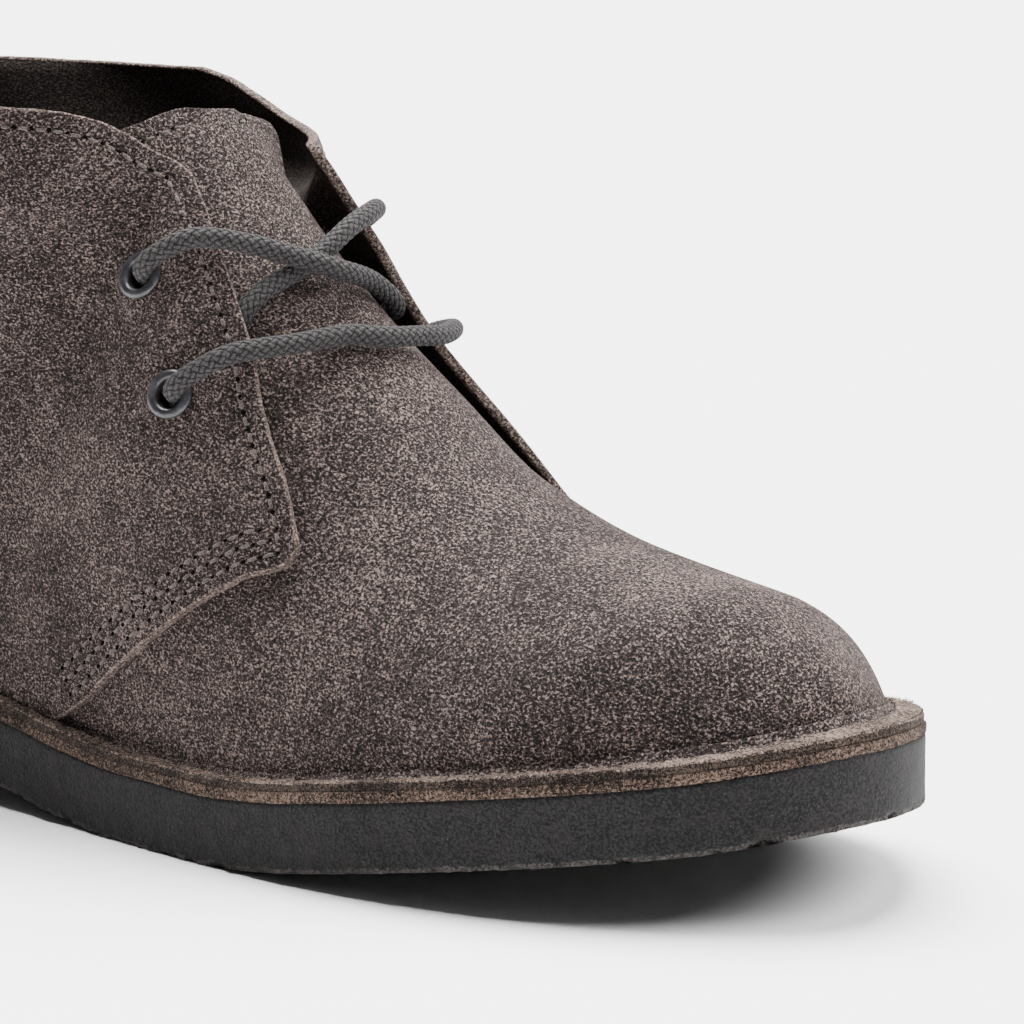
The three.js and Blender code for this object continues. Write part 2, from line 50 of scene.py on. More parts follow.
# Outline of the sole: along from the heel, outer half width, inner half width
OUTLINE = [
    (0.035, 0.243, 0.243), (0.09, 0.346, 0.34), (0.17, 0.383, 0.373), (0.27, 0.378, 0.351),
    (0.37, 0.386, 0.324), (0.47, 0.421, 0.326), (0.57, 0.464, 0.391), (0.66, 0.492, 0.475),
    (0.74, 0.489, 0.518), (0.82, 0.448, 0.525), (0.89, 0.373, 0.472), (0.945, 0.266, 0.337),
    (0.985, 0.127, 0.175)]
TOE_SHIFT = 0.024
# Underside of the crepe: along, share of the heel lift, share of the toe spring
UNDERSIDE = [
    (0, 1, 0), (0.2, 1, 0), (0.27, 0.94, 0), (0.3, 0.83, 0), (0.36, 0.59, 0), (0.43, 0.3, 0),
    (0.5, 0.05, 0), (0.53, 0, 0), (0.61, 0, 0), (0.66, 0, 0.06), (0.72, 0, 0.2), (0.8, 0, 0.41),
    (0.88, 0, 0.61), (0.95, 0, 0.8), (1, 0, 1)]
HEEL_BREAST = 0.27
# Width of the out-turned edge: along, width
LEDGE = [(0, 4.0), (0.1, 4.2), (0.5, 4.5), (0.8, 4.8), (0.93, 5.6), (1, 6.6)]
# Sections of the last: share, top along, top height, top out, top in, turn, upright part of the wall,
# lean, flat part of the roof, drop of the roof, forward run of the drop, inner fullness
LAST = [
    (0, 0.887, 0.411, 0, 0, 0, 0.44, -15, 0.57, 0, 0, 0),
    (0.06, 0.887, 0.411, 0, 0, 30, 0.44, -13, 0.57, 0, 0, 0),
    (0.12, 0.887, 0.411, 0, 0, 60, 0.44, -9, 0.57, 0, 0, 0),
    (0.18, 0.887, 0.411, 0, 0, 90, 0.44, 0, 0.57, 0, 0, 0),
    (0.26, 0.78, 0.456, 0, 0, 90, 0.4, 0, 0.6, 0, 0, 0),
    (0.34, 0.69, 0.555, 0, 0, 90, 0.36, 0, 0.6, 0, 0, 0),
    (0.4, 0.625, 0.669, 0, 0, 90, 0.45, 0, 0.62, 0, 0, 0),
    (0.46, 0.56, 0.788, 0, 0, 90, 0.5, 0, 0.7, 0, 0.9, 0.04),
    (0.5, 0.525, 0.866, 0, 0, 90, 0.54, 0, 0.76, 0.03, 0.9, 0.08),
    (0.53, 0.5, 0.932, 0, 0, 90, 0.55, 0, 0.76, 0.08, 0.9, 0.1),
    (0.56, 0.478, 1, 0, 0, 90, 0.53, 0, 0.72, 0.18, 0.8, 0.1),
    (0.59, 0.462, 1.005, 0.15, 0.15, 95, 0.48, 0, 0.42, 0.23, 0.6, 0.05),
    (0.62, 0.434, 1.008, 0.27, 0.27, 102, 0.44, 0, 0.2, 0.31, 0.35, 0),
    (0.65, 0.398, 1.006, 0.34, 0.335, 106, 0.41, 0, 0.07, 0.36, 0.15, 0),
    (0.7, 0.33, 1, 0.389, 0.378, 110, 0.4, 1, 0, 0.4, 0, 0),
    (0.8, 0.2, 0.992, 0.385, 0.365, 120, 0.4, 3, 0, 0.4, 0, 0),
    (0.86, 0.118, 0.988, 0.348, 0.338, 135, 0.4, 4, 0, 0.4, 0, 0),
    (0.91, 0.063, 0.984, 0.28, 0.278, 150, 0.4, 4, 0, 0.4, 0, 0),
    (0.955, 0.029, 0.982, 0.16, 0.16, 165, 0.4, 4, 0, 0.4, 0, 0),
    (1, 0.018, 0.982, 0, 0, 180, 0.4, 4, 0, 0.4, 0, 0)]
INSTEP_SLOPE = 0.24
BLEND = 0.022  # reach of the blend between sections of the instep and ankle
# Front edge of a quarter: rise on the section, share of the outer side line, share of the inner one
QUARTER_EDGE = [
    (0, 0.542, 0.542), (0.042, 0.512, 0.51), (0.101, 0.486, 0.482), (0.168, 0.459, 0.452),
    (0.255, 0.429, 0.418), (0.364, 0.398, 0.378), (0.485, 0.371, 0.333), (0.535, 0.381, 0.341),
    (0.57, 0.392, 0.352), (0.603, 0.407, 0.367), (0.65, 0.425, 0.402), (0.695, 0.438, 0.441),
    (0.73, 0.454, 0.456), (0.775, 0.484, 0.476), (0.796, 0.504, 0.501), (0.812, 0.526, 0.523),
    (0.828, 0.549, 0.545), (0.852, 0.57, 0.575), (0.886, 0.585, 0.609), (0.931, 0.598, 0.645),
    (0.967, 0.61, 0.67), (0.989, 0.625, 0.688), (1, 0.645, 0.705)]
CORNER = 0.485  # rise of the point of a quarter, where the seam ends
# Outline of the tongue above the point of the quarter
TONGUE_EDGE = [
    (0.485, 0.433), (0.53, 0.435), (0.57, 0.441), (0.6, 0.45), (0.64, 0.464), (0.67, 0.477),
    (0.7, 0.495), (0.72, 0.518), (0.74, 0.548), (0.765, 0.57), (0.81, 0.59), (0.86, 0.602),
    (0.91, 0.606), (0.942, 0.602), (0.965, 0.589), (0.985, 0.579), (0.996, 0.57), (1, 0.56)]
# Lift of the visible tongue tip: rise, outer half, inner half
TONGUE_TIP = [(0.9, 0, 0), (0.942, 0.1, -1.5), (0.965, 0.3, -2.2), (0.985, 0.4, -2.0), (0.996, 0.7, -0.4),
              (1, 1.2, 1.2)]
# Free front of the quarters above the tongue: rise, outer side, inner side
LIFT = [(0, -0.2, -0.2), (0.485, -0.2, -0.2), (0.56, 1.0, 1.0), (0.65, 2.0, 2.6), (0.74, 2.5, 4.4),
        (0.82, 2.7, 6.2), (0.885, 2.6, 5.4), (0.94, 2.5, 4.2), (1, 2.4, 3.6)]
LIFT_REACH = (0.06, 0.2)  # from here to there behind the front the lift dies away
# Seats of the eyelets: share of the side line, rise
EYELETS = {"upper": (0.539, 0.631), "lower": (0.475, 0.529)}
# Runs of lace from their eyelet on: side, share of the side line, rise, height over the last.
# The crossed runs end out of sight under the opposite quarter.
LACE_RUNS = {
    "outer": [(-1, 0.509, 0.747, 7.3), (-1, 0.482, 0.83, 6.6), (-1, 0.457, 0.92, 5.6),
              (-1, 0.447, 0.99, 4.6), (1, 0.447, 0.88, 2.7), (1, 0.449, 0.765, 2.5),
              (1, 0.453, 0.72, 2.0), (1, 0.464, 0.68, 1.5)],
    "inner": [(1, 0.522, 0.69, 9.0), (1, 0.5, 0.77, 10.4), (1, 0.474, 0.9, 6.4), (-1, 0.461, 0.99, 2.6),
              (-1, 0.458, 0.92, 2.3), (-1, 0.459, 0.807, 2.4), (-1, 0.459, 0.765, 2.4),
              (-1, 0.459, 0.73, 1.7), (-1, 0.469, 0.69, 1.0)],
    "bar": [(-1, 0.447, 0.66, 6.9), (-1, 0.426, 0.79, 4.0), (-1, 0.416, 0.91, 2.7), (-1, 0.409, 0.99, 2.5),
            (1, 0.409, 0.9, 3.0), (1, 0.414, 0.8, 5.0), (1, 0.432, 0.69, 8.2), (1, 0.46, 0.59, 7.4)]}
YARNS, YARN_RUN = 8, 1.9  # yarns of the cord in each direction, length over which one moves a place on
OUTER, INNER = -1, 1
# Rows of stitches: distance of each seam row inside the edge and the rise where it ends; free edge's row
SEAM_ROWS = [(2.3, 0.452), (5.0, 0.436), (7.4, 0.424)]
EDGE_ROW = 3.0
STITCH_LENGTH, STITCH_WIDTH = 0.6, 0.36  # share of the pitch, half width
FIBRE = 0.045  # half thickness of a loose fibre


# ---- The last
def column(rows, c, x):
    """Value of one column of a table at x, on a curve that keeps the table's rises and falls."""
    table = np.array(rows, float)
    at, value = table[:, 0], table[:, c]
    gap = np.diff(at)
    grade = np.diff(value) / gap
    slope = np.empty(len(at))
    slope[0], slope[-1] = grade[0], grade[-1]
    for i in range(1, len(at) - 1):
        a, b = grade[i - 1], grade[i]
        before, after = gap[i - 1], gap[i]
        slope[i] = 0 if a * b <= 0 else 3 * (before + after) / (
            (2 * after + before) / a + (after + 2 * before) / b)
    x = np.clip(np.asarray(x, float), at[0], at[-1])
    i = np.clip(np.searchsorted(at, x, side="right") - 1, 0, len(gap) - 1)
    h = gap[i]
    t = (x - at[i]) / h
    return ((1 + 2 * t) * (1 - t) ** 2 * value[i] + t * (1 - t) ** 2 * h * slope[i]
            + t * t * (3 - 2 * t) * value[i + 1] + t * t * (t - 1) * h * slope[i + 1])


def by_side(rows, t, side):
    """Value of a table with a column for each side."""
    return np.where(np.asarray(side) < 0, column(rows, 1, t), column(rows, 2, t))


def smooth(x):
    k = np.clip(x, 0, 1)
    return k * k * (3 - 2 * k)


def bell(x, width):
    return np.exp(-(x / width) ** 2)


def spline(points, per, closed=False):
    """Centripetal curve through points, with so many steps between two of them."""
    p = np.array(points, float)
    n = len(p)
    found = []
    for k in range(n if closed else n - 1):
        if closed:
            p0, p1, p2, p3 = (p[(k + d) % n] for d in (-1, 0, 1, 2))
        else:
            p1, p2 = p[k], p[k + 1]
            p0 = p[k - 1] if k else 2 * p1 - p2
            p3 = p[k + 2] if k + 2 < n else 2 * p2 - p1
        a, b, c = (max(np.linalg.norm(q - r), 1e-9) ** 0.5 for q, r in ((p1, p0), (p2, p1), (p3, p2)))
        m1 = ((p1 - p0) / a - (p2 - p0) / (a + b) + (p2 - p1) / b) * b
        m2 = ((p2 - p1) / b - (p3 - p1) / (b + c) + (p3 - p2) / c) * b
        t = np.linspace(0, 1, per, endpoint=False)[:, None]
        found.append((2 * t ** 3 - 3 * t ** 2 + 1) * p1 + (t ** 3 - 2 * t ** 2 + t) * m1
                     + (3 * t ** 2 - 2 * t ** 3) * p2 + (t ** 3 - t ** 2) * m2)
    if not closed:
        found.append(p[-1:])
    return np.vstack(found)


def run_of(line):
    return np.r_[0, np.cumsum(np.linalg.norm(np.diff(line, axis=0), axis=1))]


def even(line, step=None, count=None):
    """Points along a line at even distances."""
    run = run_of(line)
    count = count or max(2, int(round(run[-1] / step)) + 1)
    at = np.linspace(0, run[-1], count)
    return np.stack([np.interp(at, run, line[:, k]) for k in range(line.shape[1])], 1)


def ring_of(line, count):
    """A closed line as so many points."""
    return even(np.vstack([line, line[:1]]), count=count)[:-1]


def unit(v):
    return v / np.maximum(np.linalg.norm(v, axis=-1, keepdims=True), 1e-12)


OUTLINE_RING = spline(
    [(LENGTH, TOE_SHIFT * BALL)] + [(s * LENGTH, -o * BALL) for s, o, _ in reversed(OUTLINE)]
    + [(0, 0)] + [(s * LENGTH, i * BALL) for s, _, i in OUTLINE], 60, closed=True)
CENTRE = np.array([LENGTH / 2, (OUTLINE_RING[:, 1].min() + OUTLINE_RING[:, 1].max()) / 2, 0])


def underside(s):
    return column(UNDERSIDE, 1, s) * HEEL + column(UNDERSIDE, 2, s) * SPRING


def midsole_bottom(s):
    return underside(s) + CREPE + FIT


def flange_bottom(s):
    return midsole_bottom(s) + MIDSOLE + FIT


def flange_top(s):
    return flange_bottom(s) + FLANGE


def ring_outward(ring):
    along = unit(np.roll(ring, -1, 0) - np.roll(ring, 1, 0))
    return np.stack([-along[:, 1], along[:, 0]], 1)


def side_line(side):
    """Feather line of one side, from toe to heel, with the direction out of the boot."""
    out = ring_outward(OUTLINE_RING)
    ring = OUTLINE_RING - out * column(LEDGE, 1, OUTLINE_RING[:, 0] / LENGTH)[:, None]
    heel, n = int(np.argmin(OUTLINE_RING[:, 0])), len(ring)
    order = range(0, heel + 1) if side < 0 else range(0, -(n - heel) - 1, -1)
    order = [k % n for k in order]
    return ring[order], out[order]


FEATHER = {side: side_line(side) for side in (OUTER, INNER)}


def feather(u, side):
    ring, out = FEATHER[side]
    run = run_of(ring)
    at = np.asarray(u, float) * run[-1]
    x, y = (np.interp(at, run, ring[:, k]) for k in (0, 1))
    away = unit(np.stack([np.interp(at, run, out[:, k]) for k in (0, 1)], -1))
    return np.stack([x, y, flange_bottom(x / LENGTH) + 0.5], -1), away


def section(u, t, side):
    """Point of one section of the last: u from toe to heel, t from the sole to the ridge or collar."""
    foot, out = feather(u, side)
    top_x, top_z = column(LAST, 1, u) * LENGTH, column(LAST, 2, u) * COLLAR
    top = np.stack([top_x, side * column(LAST, 3 if side < 0 else 4, u) * BALL, top_z], -1)
    turn, lean = np.radians(column(LAST, 5, u)), np.radians(column(LAST, 7, u))
    height = top_z - foot[..., 2]
    reach = np.hypot(top[..., 0] - foot[..., 0], top[..., 1] - foot[..., 1])
    rise = column(LAST, 6, u) * height
    wall = foot + np.stack([out[..., 0] * np.sin(lean), out[..., 1] * np.sin(lean), np.cos(lean)],
                           -1) * rise[..., None]
    inward = np.stack([-np.cos(turn), -side * np.sin(turn), INSTEP_SLOPE * np.cos(turn)], -1)
    flat = column(LAST, 8, u) + (column(LAST, 11, u) if side > 0 else 0)
    drop = column(LAST, 9, u) * height
    roof = top - inward * (reach * flat)[..., None]
    roof[..., 0] += column(LAST, 10, u) * drop
    roof[..., 2] -= drop
    t = np.asarray(t, float)[..., None]
    return ((1 - t) ** 3 * foot + 3 * t * (1 - t) ** 2 * wall + 3 * t * t * (1 - t) * roof
            + t ** 3 * top)


def last_on(u, t, side):
    """Surface of the last on one side; neighbouring sections blend between instep and ankle."""
    u = np.asarray(u, float)
    spread = BLEND * smooth((u - 0.4) / 0.08) * smooth((0.76 - u) / 0.08)
    return (2 * section(u, t, side) + section(u - spread, t, side) + section(u + spread, t, side)) / 4


def last(u, t, side):
    u, t, side = np.broadcast_arrays(np.asarray(u, float), np.asarray(t, float), side)
    return np.where((side < 0)[..., None], last_on(u, t, OUTER), last_on(u, t, INNER))


def last_normal(u, t, side, step=0.004):
    u, t, side = np.broadcast_arrays(np.asarray(u, float), np.asarray(t, float), side)
    t_low, t_high = np.clip(t - step, 0, 1), np.clip(t + step, 0, 1)
    u_low, u_high = np.clip(u - step, 0, 1), np.clip(u + step, 0, 1)
    along = last(u_high, t, side) - last(u_low, t, side)
    up = last(u, t_high, side) - last(u, t_low, side)
    return unit(np.cross(along, up) * np.asarray(side)[..., None])


def quarter_front(t, side):
    return by_side(QUARTER_EDGE, t, side)


def vamp_back(t, side):
    return np.where(t <= CORNER, quarter_front(t, side) + SEAM, column(TONGUE_EDGE, 1, t))


def quarter_lift(u, t, side):
    """Height of a quarter's inner face over the last."""
    lift = by_side(LIFT, t, side)
    loss = smooth((u - quarter_front(t, side) - LIFT_REACH[0]) / (LIFT_REACH[1] - LIFT_REACH[0]))
    return lift + (-VAMP_THICK - lift) * loss


def quarter_face(u, t, side):
    return last(u, t, side) + last_normal(u, t, side) * (
        quarter_lift(u, t, side) + QUARTER_THICK)[..., None]


# ---- Meshes
def to_scene(name, data):
    made = bpy.data.objects.new(name, data)
    bpy.context.scene.collection.objects.link(made)
    return made


def make_piece(name, points, faces, material, node, slot, weld=0.0):
    """A piece in the row's frame, from points in millimetres measured from the heel."""
    mesh = bpy.data.meshes.new(name)
    mesh.from_pydata(((np.asarray(points) - CENTRE) * MM).tolist(), [], [tuple(f) for f in faces])
    if weld:
        work = bmesh.new()
        work.from_mesh(mesh)
        bmesh.ops.remove_doubles(work, verts=work.verts, dist=weld * MM)
        bmesh.ops.dissolve_degenerate(work, edges=work.edges, dist=1e-7)
        bmesh.ops.recalc_face_normals(work, faces=work.faces)
        work.to_mesh(mesh)
        work.free()
    mesh.validate()
    mesh.shade_smooth()
    mesh.materials.append(material)
    piece = to_scene(name, mesh)
    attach(piece, "root")
    if node:
        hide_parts(*([node] if isinstance(node, str) else node))
    return piece


def grid_faces(n, m, start=0, flip=False):
    i, j = np.meshgrid(np.arange(n - 1), np.arange(m - 1), indexing="ij")
    a = (start + i * m + j).ravel()
    quads = np.stack([a, a + 1, a + m + 1, a + m], 1)
    return quads[:, ::-1] if flip else quads


def round_faces(n, m, closed=False):
    """Faces of n rings of m points; closed joins the last ring to the first."""
    i, j = np.meshgrid(np.arange(n if closed else n - 1), np.arange(m), indexing="ij")
    low, high, after = i * m, (i + 1) % n * m, (j + 1) % m
    return np.stack([low + j, low + after, high + after, high + j], -1).reshape(-1, 4)


def rim_path(n, m, open_start=False):
    """Indices round the edge of a grid; with open_start the first column is a fold, not an edge."""
    first, last_row = [(0, j) for j in range(m)], [(n - 1, j) for j in range(m)]
    back = [(i, m - 1) for i in range(1, n - 1)]
    path = first + back + last_row[::-1]
    if not open_start:
        path += [(i, 0) for i in range(n - 2, 0, -1)]
    return path


def slab(outer, inner, open_start=False):
    """Points and faces of a sheet between two grids, with a softly rounded cut edge."""
    bulge, steps = 0.45, 5
    n, m, _ = outer.shape
    points = [outer.reshape(-1, 3), inner.reshape(-1, 3)]
    faces = [grid_faces(n, m), grid_faces(n, m, n * m, flip=True)]
    path = rim_path(n, m, open_start)
    index = np.array([i * m + j for i, j in path])
    deep = np.array([min(max(i, 2), n - 3) * m + min(max(j, 0 if open_start else 2), m - 3)
                     for i, j in path])
    flat_outer, flat_inner = outer.reshape(-1, 3), inner.reshape(-1, 3)
    a, b = flat_outer[index], flat_inner[index]
    middle, half = (a + b) / 2, (a - b) / 2
    ahead, behind = np.roll(middle, -1, 0), np.roll(middle, 1, 0)
    if open_start:
        ahead[-1], behind[0] = middle[1], middle[-2]
    tangent = unit(ahead - behind)
    side = np.cross(tangent, unit(half))
    away = middle - (flat_outer[deep] + flat_inner[deep]) / 2
    side = unit(side * np.sign((side * away).sum(1, keepdims=True)))
    if not open_start:
        side = unit(sum(np.roll(side, k, 0) for k in (-3, -2, -1, 0, 1, 2, 3)))
    fray = wobble(middle, 1.2, 31)[:, None] * 0.16
    total, start = 2 * n * m, [index]
    for k in range(1, steps):
        angle = math.pi * k / steps
        c, s = math.cos(angle), math.sin(angle)
        ring = middle + half * (abs(c) ** 0.55 * np.sign(c)) + side * (bulge * s ** 0.6 + fray * s)
        points.append(ring)
        start.append(total + np.arange(len(ring)))
        total += len(ring)
    start.append(index + n * m)
    for low, high in zip(start, start[1:]):
        p, q = low, np.roll(low, -1)
        r, s = np.roll(high, -1), high
        strip = np.stack([q, p, s, r], 1)
        faces.append(strip[:-1] if open_start else strip)
    return np.vstack(points), np.vstack(faces)


def wobble(points, size, seed):
    """Smooth noise from -1 to 1 at points, for features of a size in millimetres."""
    shift = Vector((seed * 17.3, seed * 5.1, seed * 9.7))
    return np.array([noise.noise(Vector(p) + shift) for p in (np.asarray(points) / size).tolist()])


def waves(points, *parts):
    """Several noises at once: size, seed and height of each."""
    return sum(wobble(points, size, seed) * height for size, seed, height in parts)


def distance_to(points, line):
    """Distance of each point to a line of close points."""
    flat = points.reshape(-1, 3)
    best = np.full(len(flat), 1e9)
    for k in range(0, len(line), 64):
        d = ((flat[:, None] - line[None, k:k + 64]) ** 2).sum(-1).min(1)
        best = np.minimum(best, d)
    return np.sqrt(best).reshape(points.shape[:-1])


# ---- Shader maths
class Wire:
    """An output socket that can be used in sums."""
    def __init__(self, book, socket):
        self.book, self.socket = book, socket

    def _math(self, kind, other=None, swap=False):
        pair = [self] if other is None else ([other, self] if swap else [self, other])
        return self.book.node("ShaderNodeMath", {"operation": kind}, dict(enumerate(pair)))

    def __add__(self, other): return self._math("ADD", other)
    def __radd__(self, other): return self._math("ADD", other, True)
    def __sub__(self, other): return self._math("SUBTRACT", other)
    def __rsub__(self, other): return self._math("SUBTRACT", other, True)
    def __mul__(self, other): return self._math("MULTIPLY", other)
    def __rmul__(self, other): return self._math("MULTIPLY", other, True)
    def __truediv__(self, other): return self._math("DIVIDE", other)

    def absolute(self): return self._math("ABSOLUTE")
    def sine(self): return self._math("SINE")

    def ramp(self, low, high):
        """0 below low, 1 above high, soft between."""
        return self.book.node("ShaderNodeMapRange", {"interpolation_type": "SMOOTHSTEP"},
                              {"Value": self, "From Min": low, "From Max": high})


class Finish:
    """A material that is built from nodes."""
    def __init__(self, name, **constants):
        self.material = bpy.data.materials.new(name)
        self.material.use_nodes = True
        self.tree = self.material.node_tree
        self.shader = self.tree.nodes["Principled BSDF"]
        for key, value in constants.items():
            self.shader.inputs[key.replace("_", " ")].default_value = value
        self.place = self.node("ShaderNodeTexCoord", {}, {}, "Object")

    def node(self, kind, settings, sockets, output=0):
        made = self.tree.nodes.new(kind)
        for key, value in settings.items():
            setattr(made, key, value)
        for key, value in sockets.items():
            if isinstance(value, Wire):
                self.tree.links.new(value.socket, made.inputs[key])
            else:
                made.inputs[key].default_value = value
        return Wire(self, made.outputs[output])

    def scaled(self, x, y, z, turn=(0, 0, 0)):
        return self.node("ShaderNodeMapping", {"vector_type": "TEXTURE"}, {
            "Vector": self.place, "Scale": (x * MM, y * MM, z * MM), "Rotation": turn})

    def noise(self, size, detail=2.0, rough=0.5, distortion=0.0, vector=None):
        """Noise whose features are about so many millimetres."""
        return self.node("ShaderNodeTexNoise", {}, {
            "Vector": vector or self.place, "Scale": 1 / (size * MM) if vector is None else 1.0 / size,
            "Detail": detail, "Roughness": rough, "Distortion": distortion})

    def cells(self, size):
        return self.node("ShaderNodeTexVoronoi", {}, {"Vector": self.place, "Scale": 1 / (size * MM)},
                         "Distance")

    def mix(self, share, low, high):
        return self.node("ShaderNodeMix", {"data_type": "RGBA"}, {0: share, 6: low, 7: high}, 2)

    def bump(self, height, depth, strength):
        return self.node("ShaderNodeBump", {}, {
            "Height": height, "Distance": depth * MM, "Strength": strength})

    def tones(self, tone, middle, high, deep, ground, tip):
        """Three colours by rising tone: each pair of numbers is where one gives way to the next."""
        return self.mix(tone.ramp(*high), self.mix(tone.ramp(*middle), deep, ground), tip)

    def wear(self, name, value):
        self.tree.links.new(value.socket, self.shader.inputs[name])

    def done(self, base, height, depth, strength=1.0):
        self.wear("Base Color", base)
        self.wear("Normal", self.bump(height, depth, strength))
        return self.material


def colour(red, green, blue):
    """Linear colour from the 0 to 255 values a colour picker shows."""
    return tuple(((c / 255 + 0.055) / 1.055) ** 2.4 if c > 10 else c / 255 / 12.92
                 for c in (red, green, blue)) + (1.0,)


def suede(name, deep, ground, tip, patchy=1.0):
    """Short suede nap: fine strokes, lighter where the nap is brushed up."""
    f = Finish(name, Roughness=0.95, Sheen_Weight=0.03, Sheen_Roughness=0.4,
               Sheen_Tint=colour(190, 172, 164), Specular_IOR_Level=0.1)
    strand = f.noise(1.0, 2.0, 0.55, 0.5, f.scaled(0.52, 0.52, 0.34, (0.4, 0.25, 0.0)))
    fine = f.noise(0.26, 2.0, 0.6)
    cloud = f.noise(32, 2.0, 0.5)
    blotch = f.noise(7, 2.0, 0.5)
    tone = (strand - 0.5) * 3.4 + (fine - 0.5) * 1.5 + 0.42
    tone = tone + (cloud - 0.5) * 0.55 * patchy + (blotch - 0.5) * 0.3 * patchy
    return f.done(f.tones(tone, (-0.05, 0.5), (0.45, 1.15), deep, ground, tip),
                  strand * 0.75 + fine * 0.25, 0.42)


def raw_fibre(name, deep, ground, tip, size=0.42):
    """Raw cut leather fibre, fuzzy and pale."""
    f = Finish(name, Roughness=0.97, Sheen_Weight=0.06, Sheen_Roughness=0.5,
               Sheen_Tint=colour(215, 195, 180), Specular_IOR_Level=0.1)
    fibre = f.noise(size, 3.0, 0.7, 0.8)
    grain = f.noise(0.2, 2.0, 0.6)
    cloud = f.noise(11, 2.0)
    tone = (fibre - 0.5) * 4.4 + (grain - 0.5) * 1.8 + 0.5 + (cloud - 0.5) * 1.0
    return f.done(f.tones(tone, (0.0, 0.5), (0.45, 1.1), deep, ground, tip),
                  fibre * 0.7 + grain * 0.3, 0.5)


def crepe_rubber(name, low, high, speck=0.09):
    """Dark crepe rubber, cut edge: fine grain, pin specks, faint tool lines."""
    f = Finish(name, Roughness=0.88, Specular_IOR_Level=0.2, Sheen_Weight=0.02)
    grain = f.noise(0.5, 3.0, 0.7)
    crumb = f.cells(0.7)
    cloud = f.noise(18, 3.0, 0.6)
    brown = f.noise(5, 2.0)
    lines = f.noise(1.0, 2.0, 0.5, 0.3, f.scaled(9, 9, 0.5, (0.0, 0.03, 0.0)))
    tone = (grain - 0.5) * 6.0 + 0.45 + (cloud - 0.5) * 0.8 + (lines - 0.5) * 0.4
    base = f.mix(tone.ramp(0.0, 1.0), low, high)
    base = f.mix(brown.ramp(0.5, 0.75) * 0.4, base, colour(32, 28, 26))
    specks = f.cells(2.3).ramp(0.02, 0.12)
    base = f.mix(specks, colour(8, 8, 9), base)
    dust = f.cells(1.7).ramp(speck / 3, speck)
    f.wear("Roughness", 0.78 + (grain - 0.5) * 0.3)
    return f.done(f.mix(dust, colour(70, 66, 63), base), grain * 0.7 + crumb * 0.3 + lines * 0.15, 0.4)


def braid(name):
    """Round braid: yarns of two directions that pass over and under each other, with painted shade in the
    gaps between them.
    """
    f = Finish(name, Roughness=0.85, Specular_IOR_Level=0.22, Sheen_Weight=0.08,
               Sheen_Tint=colour(150, 150, 158))
    place = f.node("ShaderNodeTexCoord", {}, {}, "UV")
    run, turn = (f.node("ShaderNodeSeparateXYZ", {}, {0: place}, k) for k in (0, 1))
    right, left = (((turn * YARNS + run * (way / YARN_RUN)) * math.pi).sine() for way in (1, -1))
    above = (right * left).ramp(-0.1, 0.1)
    yarn = left.absolute() * above + right.absolute() * (1 - above)
    fibre = f.noise(0.3, 3.0, 0.65, 0.4)
    # dark cord whose colour also goes near black in the gaps between yarns: painted shade
    tone = yarn * 0.75 + (fibre - 0.5) * 2.6 - 0.02
    return f.done(f.mix(tone.ramp(0.0, 1.1), colour(9, 9, 10), colour(66, 63, 63)),
                  yarn * 0.7 + fibre * 0.5, 0.34)


def enamel(name):
    """Dark enamelled metal, lightly worn in cloudy patches."""
    f = Finish(name, Roughness=0.34, Metallic=0.55, Coat_Weight=0.15, Specular_IOR_Level=0.5)
    cloud, grain = f.noise(1.8, 3.0, 0.6), f.noise(0.25, 2.0)
    f.wear("Roughness", 0.3 + cloud * 0.16 + grain * 0.06)
    return f.done(f.mix(cloud.ramp(0.35, 0.7), colour(40, 40, 43), colour(66, 66, 70)), grain, 0.03, 0.5)


def thread(name, low, high):
    f = Finish(name, Roughness=0.8, Specular_IOR_Level=0.25, Sheen_Weight=0.2)
    twist = f.noise(0.3, 2.0, 0.6)
    return f.done(f.mix(twist.ramp(0.3, 0.7), low, high), twist, 0.1, 0.8)


# Needle holes are near-black discs on the suede: painted shade of the holes.
def painted_hole_shade(name):
    f = Finish(name, Roughness=1.0, Specular_IOR_Level=0.0)
    f.wear("Base Color", f.mix(f.noise(0.3), colour(6, 5, 5), colour(14, 12, 12)))
    return f.material


def sock_leather(name):
    f = Finish(name, Roughness=0.6, Specular_IOR_Level=0.35)
    cloud, pores = f.noise(12, 3.0), f.cells(0.9)
    f.wear("Roughness", 0.55 + cloud * 0.2)
    return f.done(f.mix(cloud, colour(78, 66, 58), colour(104, 90, 80)), pores, 0.08, 0.5)


SUEDE = suede("suede_nap", colour(14, 11, 11), colour(43, 37, 36), colour(122, 108, 103))
# Flesh side on the quarters' inner faces, painted darker than the nap: painted shade of the boot's inside.
SHADED_INSIDE = suede("suede_flesh_side_painted_shade", colour(14, 11, 11), colour(34, 29, 27), colour(68, 60, 56), 0.6)
# Cut rims of the quarters: paler raw fibre, lightened further as a painted highlight on the lit edge.
RIM_FIBRE_AND_HIGHLIGHT = suede("suede_rim_with_painted_highlight", colour(38, 32, 30), colour(82, 71, 67), colour(142, 127, 119), 0.6)
FUZZ = raw_fibre("turned_edge_fibre", colour(15, 12, 11), colour(54, 46, 42), colour(128, 112, 103), 0.62)
BAND = raw_fibre("midsole_fibre", colour(13, 11, 10), colour(44, 37, 33), colour(112, 94, 83), 0.5)
EDGE = raw_fibre("cut_edge", colour(10, 9, 8), colour(27, 23, 22), colour(80, 69, 62))
RUBBER = crepe_rubber("crepe_rubber", colour(2, 2, 2), colour(33, 32, 33))
TORN = crepe_rubber("crepe_torn_edge", colour(16, 15, 15), colour(62, 58, 56), 0.2)
CORD = braid("braided_cotton")
METAL = enamel("dark_enamel")
THREAD = thread("brown_thread", colour(30, 25, 24), colour(92, 81, 76))
HOLE_SHADE = painted_hole_shade("needle_hole_painted_shade")
SOCK = sock_leather("sock_leather")
